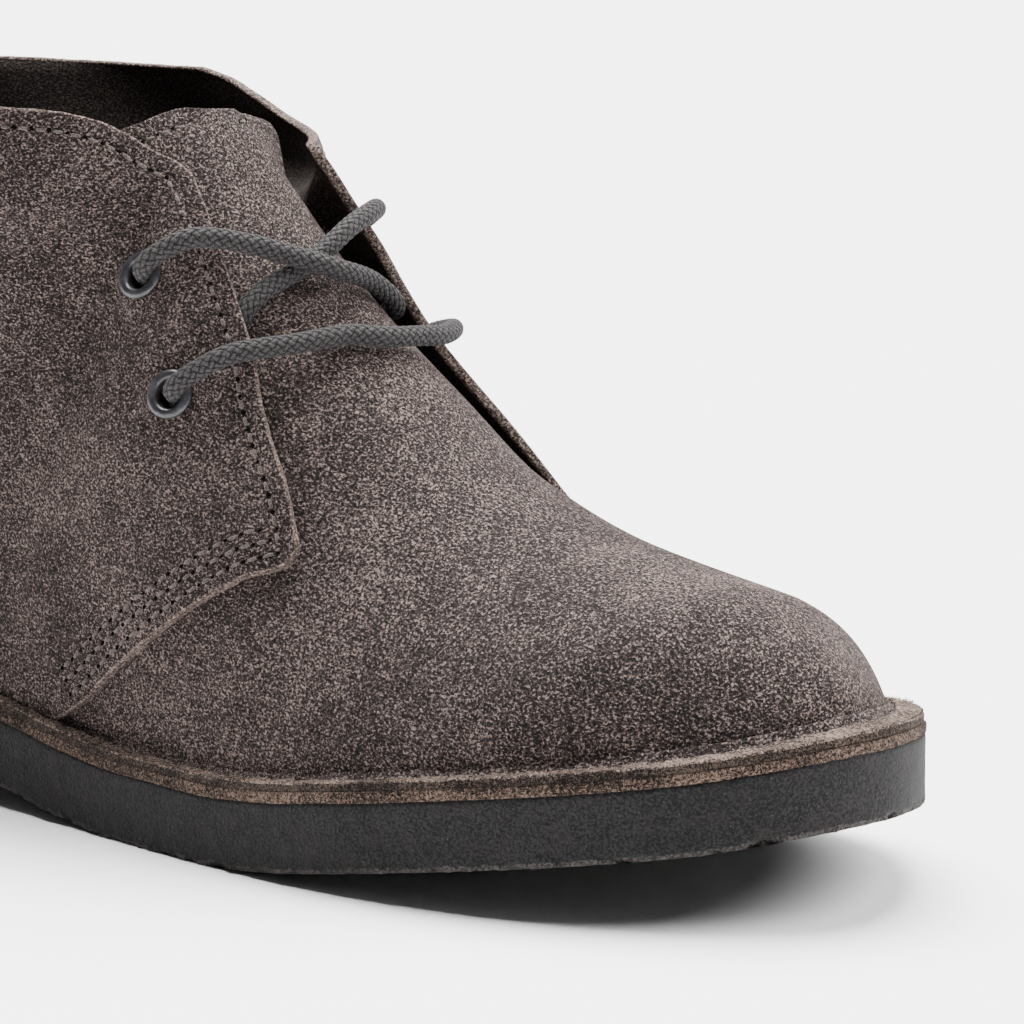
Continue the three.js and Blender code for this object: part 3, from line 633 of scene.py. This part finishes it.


# ---- Creases
def creases(points, normals):
    """Soft hollows and swells of the worn-in upper: place and reach in mm from the heel, height."""
    move = np.zeros(points.shape[:-1])
    x, y, z = points[..., 0], points[..., 1], points[..., 2]
    for cx, cy, cz, rx, ry, rz, depth in (
            (216, -8, 60, 13, 44, 26, -0.7),
            (198, -26, 52, 8, 26, 22, -0.45),
            (205, 22, 58, 9, 26, 22, -0.5),
            (181, -36, 52, 12, 20, 22, 0.35),
            (258, -20, 42, 20, 22, 16, 0.5),
            (110, -38, 60, 12, 20, 26, -0.6),
            (92, -38, 88, 16, 20, 20, 0.5),
            (120, 34, 64, 12, 20, 26, -0.6),
            (36, -30, 70, 16, 22, 22, 0.4),
            (36, 30, 70, 16, 22, 22, 0.4)):
        move += depth * np.exp(-((x - cx) / rx) ** 2 - ((y - cy) / ry) ** 2 - ((z - cz) / rz) ** 2)
    return points + normals * move[..., None]


# ---- Upper
def inward(u, t, side, distance):
    """The line a distance inside the edge u, t of a panel, on the last."""
    h = 1e-3
    step = np.stack([np.gradient(u), np.gradient(t)], 1)
    a = (last(u + h, t, side) - last(u - h, t, side)) / (2 * h)
    t1, t0 = np.minimum(t + h, 1), np.maximum(t - h, 0)
    b = (last(u, t1, side) - last(u, t0, side)) / (t1 - t0)[..., None]
    tangent = unit(a * step[..., 0:1] + b * step[..., 1:2])
    normal = last_normal(u, t, side)
    go = np.cross(normal, tangent)
    aa, ab, bb = (a * a).sum(-1), (a * b).sum(-1), (b * b).sum(-1)
    det = aa * bb - ab * ab
    ga, gb = (go * a).sum(-1), (go * b).sum(-1)
    du, dt = (ga * bb - gb * ab) / det, (gb * aa - ga * ab) / det
    sign = np.where(du < 0, -1.0, 1.0)
    return u + du * sign * distance, np.clip(t + dt * sign * distance, 0, 1)


def row_inside(side, low, high, distance):
    """A line of u, t a distance inside a quarter's front edge."""
    t = np.linspace(low, high, 700)
    u = quarter_front(t, side)
    for _ in range(3):
        u, t = inward(u, t, side, distance / 3)
    # where the edge bends sharply the row would cross itself: those points are dropped
    whole = np.linspace(0, 1, 900)
    edge = even(quarter_face(quarter_front(whole, side), whole, side), 0.4)
    keep = (distance_to(quarter_face(u, t, side), edge) > 0.86 * distance) & (u > quarter_front(t, side))
    return np.stack([u, t], 1)[keep]


def stitch_row(line, normals, pitch, seed):
    """Stitches along a line of points: small pads of thread with a near-black disc of painted shade over the
    needle hole at each end.
    """
    rng = np.random.default_rng(seed)
    at = even(line, pitch)
    n = len(at)
    up = unit(even(np.hstack([line, normals]), pitch)[:n, 3:])
    normal, forward = unit(up[:-1] + up[1:]), at[1:] - at[:-1]
    side = unit(np.cross(normal, forward))
    gap = forward * (1 - STITCH_LENGTH) / 2
    start, end = at[:-1] + gap, at[1:] - gap
    skew = side * rng.normal(0, 0.05, (n - 1, 1))
    along, around = 5, 6
    s = (np.arange(along)[:, None] + 0.5) / along
    arch = np.sin(np.pi * s)
    q = 2 * np.pi * np.arange(around)[:, None] / around
    centre = ((start + skew)[:, None] + (end - start)[:, None] * s
              + normal[:, None] * (0.3 * arch ** 0.6 - 0.24))[:, :, None]
    radius = STITCH_WIDTH * (0.55 + 0.45 * arch[:, None] ** 0.5)
    side, lift = side[:, None, None] * np.cos(q), normal[:, None, None] * np.sin(q) * 0.75
    rings = (centre + (side + lift) * radius).reshape(n - 1, -1, 3)
    pads = np.concatenate([rings, (start - normal * 0.3)[:, None], (end - normal * 0.3)[:, None]], 1)
    pad = round_faces(along, around).tolist()
    top = along * around
    for j in range(around):
        after = (j + 1) % around
        pad += [(after, j, top), (top - around + j, top - around + after, top + 1)]
    step = np.vstack([at[1:], at[-1:]]) - np.vstack([at[:1], at[:-1]])
    side = unit(np.cross(up, step))
    ahead = np.cross(side, up)
    size = 0.46 + rng.uniform(-0.06, 0.1, n)
    # near-black discs at the needle holes: painted shade
    shade_discs = np.stack([at + (side * math.cos(q) + ahead * math.sin(q)) * size[:, None]
                      * (0.8 if j % 2 else 1) - up * 0.02 for j, q in enumerate(np.arange(8) * math.pi / 4)]
                     + [at + up * 0.06], 1)
    hole = [(j, (j + 1) % 8, 8) for j in range(8)] + [tuple(range(7, -1, -1))]
    return repeated(pads, pad), repeated(shade_discs, hole)


def repeated(groups, faces):
    """The same faces on every group of points."""
    count = groups.shape[1]
    return groups.reshape(-1, 3), [tuple(i + k * count for i in face)
                                   for k in range(len(groups)) for face in faces]


def gather(parts):
    """Several (points, faces) as one."""
    points, faces, total = [], [], 0
    for p, f in parts:
        points.append(np.asarray(p))
        faces += [tuple(int(i) + total for i in face) for face in f]
        total += len(p)
    return np.vstack(points), faces


def fibres(line, outward, up, count, length, seed, spread):
    """Loose fibres: thin closed slivers that stand out of an edge."""
    rng = np.random.default_rng(seed)
    run = run_of(line)
    at = rng.uniform(0, run[-1], count)
    foot, out, top = (np.stack([np.interp(at, run, v[:, k]) for k in range(3)], 1)
                      for v in (line, outward, up))
    along = np.cross(out, top)
    foot = foot + top * rng.uniform(-spread, spread, (count, 1)) - out * 0.1
    reach = length * rng.uniform(0.3, 1.0, (count, 1)) ** 1.5
    lean = unit(out + top * rng.normal(0.1, 0.5, (count, 1)) + along * rng.normal(0, 0.8, (count, 1)))
    tip = foot + lean * reach
    middle = foot + lean * reach * 0.5 + top * rng.normal(0, 0.12, (count, 1)) * reach
    side = unit(np.cross(lean, top + 1e-6))
    other = np.cross(lean, side)
    points = np.stack([at + (side * a + other * b) * thick
                       for at, thick in ((foot, FIBRE), (middle, FIBRE * 0.8))
                       for a, b in ((1, 0), (-0.5, 1), (-0.5, -1))] + [tip], 1)
    shape = np.array([(0, 2, 1), (3, 4, 6), (4, 5, 6), (5, 3, 6), (0, 1, 4), (0, 4, 3), (1, 2, 5),
                      (1, 5, 4), (2, 0, 3), (2, 3, 5)])
    faces = (shape[None] + np.arange(count)[:, None, None] * 7).reshape(-1, 3)
    return points.reshape(-1, 3), faces


def panel_rises(stops, n):
    """Rises of a panel's rows, closer together near the stops."""
    t = np.linspace(0, 1, 4000)
    weight = 1 + sum(w * bell(t - s, r) for s, w, r in stops)
    total = np.cumsum(weight)
    return np.interp(np.linspace(total[0], total[-1], n), total, t)


def dress_sheet(piece, shape, kept):
    """Cut edge, paler as raw fibre and as a painted highlight, and flesh side, darker as painted shade, of a
    panel; kept are the numbers its faces had in the sheet.
    """
    piece.data.materials.append(RIM_FIBRE_AND_HIGHLIGHT)
    piece.data.materials.append(SHADED_INSIDE)
    face = (shape[0] - 1) * (shape[1] - 1)
    for polygon, number in zip(piece.data.polygons, kept):
        # outer faces take the nap, inner faces the flesh side with painted shade, rim faces the paler rim
        # with painted highlight
        polygon.material_index = 0 if number < face else 2 if number < 2 * face else 1


def build_vamp():
    """Vamp with the tongue cut in one."""
    rows = 84
    t = panel_rises([(1.0, 2.0, 0.03), (0.75, 1.0, 0.06)], rows)
    t = np.r_[t, t[-2::-1]]
    side = np.r_[np.full(rows, OUTER), np.full(rows - 1, INNER)]
    k = np.linspace(0, 1, 170)
    share = 1 - (1 - k) ** 1.35
    u = vamp_back(t, side)[:, None] * share[None]
    tt, ss = np.broadcast_to(t[:, None], u.shape), np.broadcast_to(side[:, None], u.shape)
    base, normal = last(u, tt, ss), last_normal(u, tt, ss)
    normal[:, :1] = unit(np.where(tt[:, :1, None] > 0.995, [0.2, 0, 1.0], normal[:, :1]))
    tip = by_side(TONGUE_TIP, t, side)[:, None] * k[None] ** 24
    base[..., 2] += tip
    base[..., 0] -= 0.5 * np.maximum(tip, 0)
    outer = creases(base, normal)
    edge = outer[t > CORNER, -1]
    groove = 0.28 * bell(distance_to(outer, even(edge, 0.4)) - EDGE_ROW, 0.55)
    outer = outer - normal * groove[..., None]
    inner = base - normal * VAMP_THICK
    points, faces = slab(outer, inner, open_start=True)
    return make_piece("vamp_and_tongue", points, faces, SUEDE, "upper", "suede", weld=0.02)


def build_quarter(side, name):
    """One quarter: its outer face carries the grooves of the stitch rows and the back seam."""
    t = panel_rises([(1.0, 1.6, 0.03), (0.485, 0.8, 0.05), (0.81, 1.2, 0.04)], 120)
    k = np.linspace(0, 1, 150)
    share = k ** 1.35
    front = quarter_front(t, side)
    u = front[:, None] + (1 - front)[:, None] * share[None]
    tt = np.broadcast_to(t[:, None], u.shape)
    base, normal = last(u, tt, side), last_normal(u, tt, side)
    lift = quarter_lift(u, tt, side)
    outer = base + normal * (lift + QUARTER_THICK)[..., None]
    outer = creases(outer, normal)
    inner = base + normal * (lift - 0.7 * smooth((CORNER + 0.05 - tt) / 0.05))[..., None]
    edge = np.vstack([outer[:, 0], outer[-1, 1:]])
    d = distance_to(outer, even(edge, 0.4))
    low = distance_to(outer, even(outer[t <= CORNER + 0.005, 0], 0.4))
    upper_row = 0.3 * bell(d - EDGE_ROW, 0.55) * smooth((tt - CORNER) / 0.03)
    seam_rows = sum(0.22 * bell(low - at, 0.5) for at, _ in SEAM_ROWS)
    seam_rows = seam_rows * smooth((CORNER + 0.04 - tt) / 0.04)
    heel = np.abs(outer[..., 1] - outer[:, -1:, 1])
    back = (0.8 * bell(heel, 0.7) + 0.3 * bell(heel - 2.6, 0.5)) * smooth((u - 0.96) / 0.02)
    outer = outer - normal * (upper_row + seam_rows + back)[..., None]
    for place in EYELETS:
        at, out = SEATS[(side, place)]
        away = outer - at
        near = smooth((7.5 - np.linalg.norm(away, axis=-1)) / 2.5)
        outer = outer - out * ((away @ out + 0.05) * near)[..., None]
    points, faces = slab(outer, inner)
    middle = points[faces].mean(1)
    keep = np.ones(len(faces), bool)
    for place in EYELETS:
        at, _ = SEATS[(side, place)]
        keep &= np.linalg.norm(middle - at, axis=1) > HOLE + 1.0
    piece = make_piece(name, points, faces[keep], SUEDE, "upper", "suede")
    dress_sheet(piece, outer.shape, np.flatnonzero(keep))
    return piece


def build_flange():
    """Out-turned edge of the upper on the midsole, with a soft turn at the wall."""
    ring = ring_of(OUTLINE_RING, 901)
    out = ring_outward(ring)
    s = ring[:, 0] / LENGTH
    wide = column(LEDGE, 1, s)
    top, bottom = flange_top(s), flange_bottom(s)
    rag = waves(np.c_[ring, top], (1.5, 1, 0.3), (9, 2, 0.25))
    swell = waves(np.c_[ring, top], (5.5, 41, 0.5), (2.2, 42, 0.25))
    pull = 0.34 * (0.5 - 0.5 * np.cos(run_of(ring) / 6.6 * 2 * math.pi))
    rows = []
    # distance in from the outline, height: along the top from the wall outwards, then down the edge
    for inset, height in ((wide + 0.5, 1.5), (wide + 0.1, 0.95), (wide - 0.4, 0.42), (wide - 1.0, 0.12),
                          (wide * 0.62, 0.0), (wide * 0.45, 0.0), (1.5, 0.06), (0.95, 0.08),
                          (0.5, -0.02), (FIT, -0.28)):
        dip = pull * bell((inset - wide * 0.55) / np.maximum(wide, 1), 0.35)
        foot = smooth((inset - wide * 0.62) / 1.5) * smooth((wide + 0.3 - inset) / 0.5)
        rows.append(np.c_[ring - out * (inset - rag * smooth((2.2 - inset) / 1.5) - swell * foot)[:, None],
                          top + height - dip * (height < 0.3) + 0.25 * swell * (height < 0.3)])
    edge_rows = [np.c_[ring - out * (FIT - rag * (1 - k / 8))[:, None], top - 0.28 - (FLANGE - 0.28) * k / 6]
                 for k in range(1, 7)]
    under = [np.c_[ring - out * np.full_like(wide, 1.0)[:, None], bottom],
             np.c_[ring - out * (wide + 0.6)[:, None], bottom]]
    grid = np.array(rows + edge_rows + under)
    n, m, _ = grid.shape
    piece = make_piece("turned_out_edge", grid.reshape(-1, 3), round_faces(n, m, closed=True), FUZZ,
                       "upper", "suede", weld=0.001)
    piece.data.materials.append(EDGE)
    piece.data.materials.append(SUEDE)
    first = len(rows) - 1
    for polygon in piece.data.polygons:
        row = polygon.index // m
        polygon.material_index = 2 if row < 3 or row == n - 1 else 1 if row >= first else 0
    return ring, out


def build_layer(wall, spine, out, low, high, shares, rows, name, material, node, slot, shape):
    """A layer of the sole: rings from the spine across the bottom, up the side and across the top."""
    def flat(height, k):
        ring = spine + (wall - spine) * k
        return np.c_[ring, height(ring[:, 0] / LENGTH)]
    s = wall[:, 0] / LENGTH
    side = [np.c_[wall, low(s) * (1 - k) + high(s) * k] for k in np.linspace(0, 1, rows)]
    grid = np.array([flat(low, k) for k in shares] + side + [flat(high, k) for k in reversed(shares)])
    if shape:
        shape(grid, len(shares), rows, out)
    piece = make_piece(name, grid.reshape(-1, 3), round_faces(*grid.shape[:2]), material, node, slot,
                       weld=0.01)
    if material is RUBBER:
        tear_edge(piece, low)


def full_layer(ring, out, inset, low, high, rows, name, material, node, slot, shape=None):
    """A layer as long as the sole, with its spine midway between the sides."""
    wall = ring - out * inset
    x = np.clip(wall[:, 0], ring[:, 0].min() + SPINE_ENDS[0], ring[:, 0].max() - SPINE_ENDS[1])
    middle = sum(np.interp(x, line[:, 0], line[:, 1]) for line in (OUTER_SIDE, INNER_SIDE)) / 2
    build_layer(wall, np.c_[x, middle], out, low, high, LAYER_SHARES, rows, name, material, node, slot, shape)


def tear_edge(piece, low):
    """The lowest millimetre of a crepe wall shows torn rubber."""
    piece.data.materials.append(TORN)
    for polygon in piece.data.polygons:
        x, z = polygon.center.x / MM + CENTRE[0], polygon.center.z / MM
        if z - low(x / LENGTH) < 1.0 and abs(polygon.normal.z) < 0.9:
            polygon.material_index = 1


def half_line(side):
    line = OUTLINE_RING[OUTLINE_RING[:, 1] * side >= min(0, side * 3)]
    return line[np.argsort(line[:, 0])]


OUTER_SIDE, INNER_SIDE = half_line(OUTER), half_line(INNER)
SPINE_ENDS = (42, 46)  # distances of a layer's spine from heel and toe
LAYER_SHARES = [0, 0.2, 0.4, 0.58, 0.72, 0.84, 0.92, 0.965, 0.988]  # rings between spine and wall
HEEL_SHARES = [0, 0.3, 0.6, 0.82, 0.93, 0.98]


def crepe_shape(grid, first, rows, out):
    """Cut crepe: slightly wavy wall, ragged lower edge with small flakes."""
    points = grid[first:first + rows].reshape(-1, 3)
    move = waves(points, (14, 3, 0.22), (3.2, 4, 0.12), (1.1, 5, 0.07)).reshape(rows, -1)
    k = np.linspace(0, 1, rows)[:, None]
    flake = np.maximum(wobble(points, 2.4, 6), 0).reshape(rows, -1) * bell(k, 0.07) * 1.5
    chip = np.maximum(wobble(points, 5.5, 7) - 0.1, 0).reshape(rows, -1) * bell(k, 0.1) * 3.0
    tuck = 0.35 * bell(k, 0.05) + 0.18 * bell(1 - k, 0.04)
    grid[first:first + rows, :, :2] += out[None] * (move + flake - chip - tuck)[..., None] * 0.9
    tear = np.maximum(wobble(points, 2.0, 8), 0) * 2.3 + np.maximum(wobble(points, 1.2, 14), 0) * 1.9
    lift = tear.reshape(rows, -1) * bell(k, 0.06)
    grid[first:first + rows, :, 2] += lift
    flat = grid[:first].reshape(-1, 3)
    grid[:first, :, 2] += np.abs(waves(flat, (4, 9, 0.14), (1.6, 10, 0.08))).reshape(first, -1)


def band_shape(grid, first, rows, out):
    """Fuzzy fibre band: its wall puffs and frays."""
    points = grid[first:first + rows].reshape(-1, 3)
    fray = waves(points, (1.0, 11, 0.22), (0.55, 12, 0.16), (7, 13, 0.15)).reshape(rows, -1)
    k = np.linspace(-1, 1, rows)[:, None]
    move = fray + 0.3 * (1 - k ** 2) + 0.1
    grid[first:first + rows, :, :2] += out[None] * move[..., None]


def build_sole():
    ring = ring_of(OUTLINE_RING, 1101)
    out = ring_outward(ring)
    full_layer(ring, out, 0.0, underside, lambda s: underside(s) + CREPE + 0.1, 16,
               "crepe_outsole", RUBBER, "outsole", "crepe", crepe_shape)
    full_layer(ring, out, FIT, lambda s: midsole_bottom(s) - 0.2, flange_bottom, 7,
               "midsole_band", BAND, "midsole", "midsole", band_shape)
    # heel block: the outline behind the breast, closed by a straight front
    breast = HEEL_BREAST * LENGTH
    keep = OUTLINE_RING[OUTLINE_RING[:, 0] <= breast]
    start = int(np.argmax(np.linalg.norm(np.diff(np.vstack([keep, keep[:1]]), axis=0), axis=1))) + 1
    arc = np.roll(keep, -start, 0)
    front = np.linspace(arc[-1], arc[0], 14)[1:-1]
    wall = ring_of(np.vstack([arc, front]), 521)
    centre = np.array([breast * 0.52, wall[:, 1].mean()])
    build_layer(wall, centre, unit(wall - centre), lambda s: 0 * s, lambda s: underside(s) - FIT,
                HEEL_SHARES, 14, "crepe_heel", RUBBER, "heel_lift", "crepe", crepe_shape)


def build_sock(ring, out):
    inset = column(LEDGE, 1, ring[:, 0] / LENGTH)[:, None] + VAMP_THICK + 4 * FIT
    full_layer(ring, out, inset, flange_bottom, lambda s: flange_bottom(s) + 2.6, 5,
               "sock", SOCK, "insole", "insole")


# ---- Eyelets and laces
def eyelet_seat(side, u, t):
    out = last_normal(u, t, side, 0.01)
    return last(u, t, side) + out * (quarter_lift(u, t, side) + QUARTER_THICK), out


SEATS = {(side, place): eyelet_seat(side, *at)
         for place, at in EYELETS.items() for side in (OUTER, INNER)}


def build_eyelet(name, seat, node):
    at, out = seat
    # radius, height over the suede
    profile = [(HOLE, -2.9), (RIM - 0.4, -2.9), (RIM - 0.4, -2.4), (3.1, -2.4), (3.1, 0.0), (RIM - 0.1, 0.0),
               (RIM + 0.03, 0.2), (RIM, 0.42), (RIM - 0.2, 0.66), (RIM - 0.6, 0.86), (RIM - 1.1, 0.94),
               (RIM - 1.5, 0.86), (HOLE + 0.2, 0.6), (HOLE + 0.04, 0.25), (HOLE - 0.05, -0.4)]
    side = unit(np.cross(out, [0, 0, 1.0]))
    other = np.cross(out, side)
    turns = 56
    points = np.array([[at + (side * math.cos(q) + other * math.sin(q)) * r + out * h
                        for q in np.arange(turns) * 2 * math.pi / turns] for r, h in profile])
    faces = round_faces(len(profile), turns, closed=True)
    make_piece(name, points.reshape(-1, 3), faces, METAL, node, "eyelet", weld=0.001)


def over(side, u, t, height):
    return last(u, t, side) + last_normal(u, t, side) * height


def from_eyelet(seat, out, ahead):
    """Points of a lace from inside the boot, out through the hole and over the ring."""
    lead = unit(ahead - seat - out * ((ahead - seat) @ out))
    return [seat + out * h + lead * d
            for h, d in ((-4.4, 0.1), (-1.4, 0.6), (0.6, 0.95), (2.0, 2.3), (2.9, 4.4))]


def lace_path(name):
    """Centre line of one run; the bar ends in the eyelet across."""
    points = [over(*row) for row in LACE_RUNS[name]]
    start = SEATS[(INNER if name == "inner" else OUTER, "lower" if name == "bar" else "upper")]
    end = from_eyelet(*SEATS[(INNER, "lower")], points[-1])[::-1] if name == "bar" else []
    return spline(from_eyelet(*start, points[0]) + points + end, 24)


def build_lace(paths, name, node):
    """Round braided cord: two sets of yarns that pass over and under each other."""
    parts, places = [], []
    around, step = 48, 0.22
    for path in paths:
        line = even(path, step)
        n = len(line)
        tangent = unit(np.gradient(line, axis=0))
        frame_side = [unit(np.cross(tangent[0], [0.3, 0.2, 1.0]))]
        for k in range(1, n):
            v = frame_side[-1] - tangent[k] * (frame_side[-1] @ tangent[k])
            frame_side.append(unit(v))
        frame_side = np.array(frame_side)
        other = np.cross(tangent, frame_side)
        q = np.arange(around) * 2 * math.pi / around
        run = run_of(line)[:, None]
        right, left = (np.sin((q[None] / (2 * math.pi) * YARNS + way * run / YARN_RUN) * math.pi)
                       for way in (1, -1))
        above = smooth((right * left + 0.2) / 0.4)
        yarn = above * np.abs(left) + (1 - above) * np.abs(right)
        radius = LACE * (0.92 + 0.12 * yarn ** 0.7)
        ends = smooth(np.minimum(run, run[-1] - run) / 0.8)
        radius = radius * (0.6 + 0.4 * ends)
        grid = (line[:, None] + frame_side[:, None] * (np.cos(q)[None] * radius)[..., None]
                + other[:, None] * (np.sin(q)[None] * radius)[..., None])
        faces = [tuple(f) for f in round_faces(n, around)]
        faces.append(tuple(range(around - 1, -1, -1)))
        faces.append(tuple((n - 1) * around + j for j in range(around)))
        parts.append((grid.reshape(-1, 3), faces))
        i, j = (k.ravel() for k in np.meshgrid(np.arange(n - 1), np.arange(around), indexing="ij"))
        ahead, after, across, beyond = run[i, 0], run[i + 1, 0], j / around, (j + 1) / around
        places += [np.stack([ahead, across, ahead, beyond, after, beyond, after, across], 1).ravel(),
                   np.zeros(4 * around)]
    points, faces = gather(parts)
    cord = make_piece(name, points, faces, CORD, node, "lace")
    cord.data.uv_layers.new(name="round_the_cord").data.foreach_set("uv", np.concatenate(places))


# ---- Stitching
def on_quarter(line, side):
    u, t = line[:, 0], line[:, 1]
    normal = last_normal(u, t, side)
    face = quarter_face(u, t, side)
    return creases(face, normal) - normal * 0.12, normal


def sew(name, rows):
    for part, k, material in (("stitches", 0, THREAD), ("hole_shade_discs", 1, HOLE_SHADE)):
        make_piece(f"{name}_{part}", *gather([row[k] for row in rows]), material, None, "suede")


def build_stitches():
    rows, seed = [], 1
    for side in (OUTER, INNER):
        # the free front edge and the collar, as one row
        front = row_inside(side, CORNER + 0.016, 0.995, EDGE_ROW)
        front = front[front[:, 1] < 0.972]
        u = np.linspace(front[-1, 0] + 0.012, 0.999, 400)
        reach = EDGE_ROW / (np.linalg.norm(last(u, 1.0, side) - last(u, 0.9, side), axis=-1) * 10)
        line = np.vstack([front, np.stack([u, 1 - reach], 1)])
        rows.append(stitch_row(*on_quarter(line, side), 3.3, seed))
        seed += 1
        for distance, end in SEAM_ROWS:
            line = row_inside(side, 0.035, end, distance)
            rows.append(stitch_row(*on_quarter(line, side), 3.5, seed))
            seed += 1
            if distance == SEAM_ROWS[0][0]:
                # tack at the corner, from this row to the free edge's row
                share = np.linspace(0, 1, 40)[:, None]
                line = line[-1] * (1 - share) + front[0] * share
                rows.append(stitch_row(*on_quarter(line, side), 1.2, seed + 50))
    sew("quarter", rows)
    rows = []
    for side in (OUTER, INNER):
        t = np.linspace(0.70, 1.0, 500)
        u, t = inward(column(TONGUE_EDGE, 1, t), t, side, -EDGE_ROW)
        normal = last_normal(u, t, side)
        face = creases(last(u, t, side), normal) - normal * 0.22
        keep = t < 0.999
        rows.append(stitch_row(face[keep], normal[keep], 3.3, 40 + side))
    sew("tongue", rows)


def build_fuzz(ring, out):
    """Loose fibres on the raw edges: midsole, out-turned edge, foot of the upper, rims of the quarters."""
    s = ring[:, 0] / LENGTH
    up = np.tile([0, 0, 1.0], (len(ring), 1))
    away = np.c_[out, np.zeros(len(out))]
    parts = []
    # distance in from the outline, height, share of the way out and up, count, length, seed, spread
    for inset, height, way, rise, *rest in (
            (0.1, midsole_bottom(s) + MIDSOLE / 2, 1, 0, 5200, 0.8, 21, 0.9),
            (0.6, flange_top(s), 0.6, 1, 3600, 0.7, 22, 0.2),
            (column(LEDGE, 1, s)[:, None] - 0.6, flange_top(s) + 0.4, 0.5, 1, 2200, 0.8, 23, 0.4)):
        lines = np.c_[ring - out * inset, height], unit(away * way + up * rise), up
        parts.append(fibres(*(np.vstack([a, a[:1]]) for a in lines), *rest))
    for side in (OUTER, INNER):
        t = np.linspace(0.02, 1, 500)
        u = np.r_[quarter_front(t, side), np.linspace(quarter_front(1.0, side) + 0.01, 1, 400)]
        t = np.r_[t, np.ones(400)]
        rim, normal = quarter_face(u, t, side), last_normal(u, t, side)
        away = np.cross(unit(np.gradient(rim, axis=0)), normal) * -side
        parts.append(fibres(rim - normal, away, normal, 1700, 0.7, 60 + side, 0.9))
    make_piece("raw_edge_fibres", *gather(parts), FUZZ, None, "suede")


# ---- Floor, light and camera
def build_studio():
    f = Finish("pale_floor", Roughness=0.9, Specular_IOR_Level=0.1)
    f.wear("Base Color", f.mix(f.noise(400, 1.0), (0.86, 0.86, 0.865, 1), (0.88, 0.88, 0.885, 1)))
    mesh = bpy.data.meshes.new("floor")
    a = 6.0
    mesh.from_pydata([(-a, -a, 0), (a, -a, 0), (a, a, 0), (-a, a, 0)], [], [(0, 1, 2, 3)])
    mesh.materials.append(f.material)
    to_scene("floor", mesh)
    world = bpy.data.worlds.new("studio")
    bpy.context.scene.world = world
    world.use_nodes = True
    back = world.node_tree.nodes["Background"]
    back.inputs["Color"].default_value = (1.0, 1.0, 1.0, 1)
    back.inputs["Strength"].default_value = 0.13
    for name, way, spread, power in (("key", (-0.36, 0.24, 0.9), 50, 18.0),
                                     ("toe", (0.52, 0.48, 0.7), 40, 6.0)):
        lamp = bpy.data.lights.new(name, "SUN")
        lamp.angle, lamp.energy = math.radians(spread), power
        lamp.color = (1.0, 0.985, 0.975)
        holder = to_scene(name, lamp)
        holder.location = way
        holder.rotation_euler = Vector(way).to_track_quat("Z", "Y").to_euler()


def build_camera():
    """The photograph's angle: 42 degrees round from the outer side, 10 degrees above the floor.
    The aim is in millimetres from the heel, and the focal length is 6823.25 pixels of a 1024 wide frame."""
    a, e, distance = math.radians(42.0), math.radians(10.2), 1.250
    aim = Vector(((194.86 - CENTRE[0]) * MM, (23.69 - CENTRE[1]) * MM, 55.49 * MM))
    back = Vector((math.sin(a) * math.cos(e), -math.cos(a) * math.cos(e), math.sin(e)))
    lens = bpy.data.cameras.new("camera")
    lens.sensor_width, lens.lens = 36.0, 36.0 * 6823.25 / 1024
    lens.clip_start, lens.clip_end = 0.05, 50
    camera = to_scene("camera", lens)
    camera.location = aim + back * distance
    camera.rotation_mode = "QUATERNION"
    camera.rotation_quaternion = (-back).to_track_quat("-Z", "Y")
    bpy.context.scene.camera = camera


build_camera()
build_vamp()
build_quarter(OUTER, "quarter_outer")
build_quarter(INNER, "quarter_inner")
edge_ring, edge_out = build_flange()
build_sole()
build_sock(edge_ring, edge_out)
for side, word in ((OUTER, "outer"), (INNER, "inner")):
    for place in EYELETS:
        build_eyelet(f"{place}_{word}_eyelet", SEATS[(side, place)], f"eyelet_{word}_{place}")
build_lace([lace_path("outer"), lace_path("inner")], "lace_crossed", "lace_cross")
build_lace([lace_path("bar")], "lace_straight", "lace_bar")
build_stitches()
build_fuzz(edge_ring, edge_out)
build_studio()
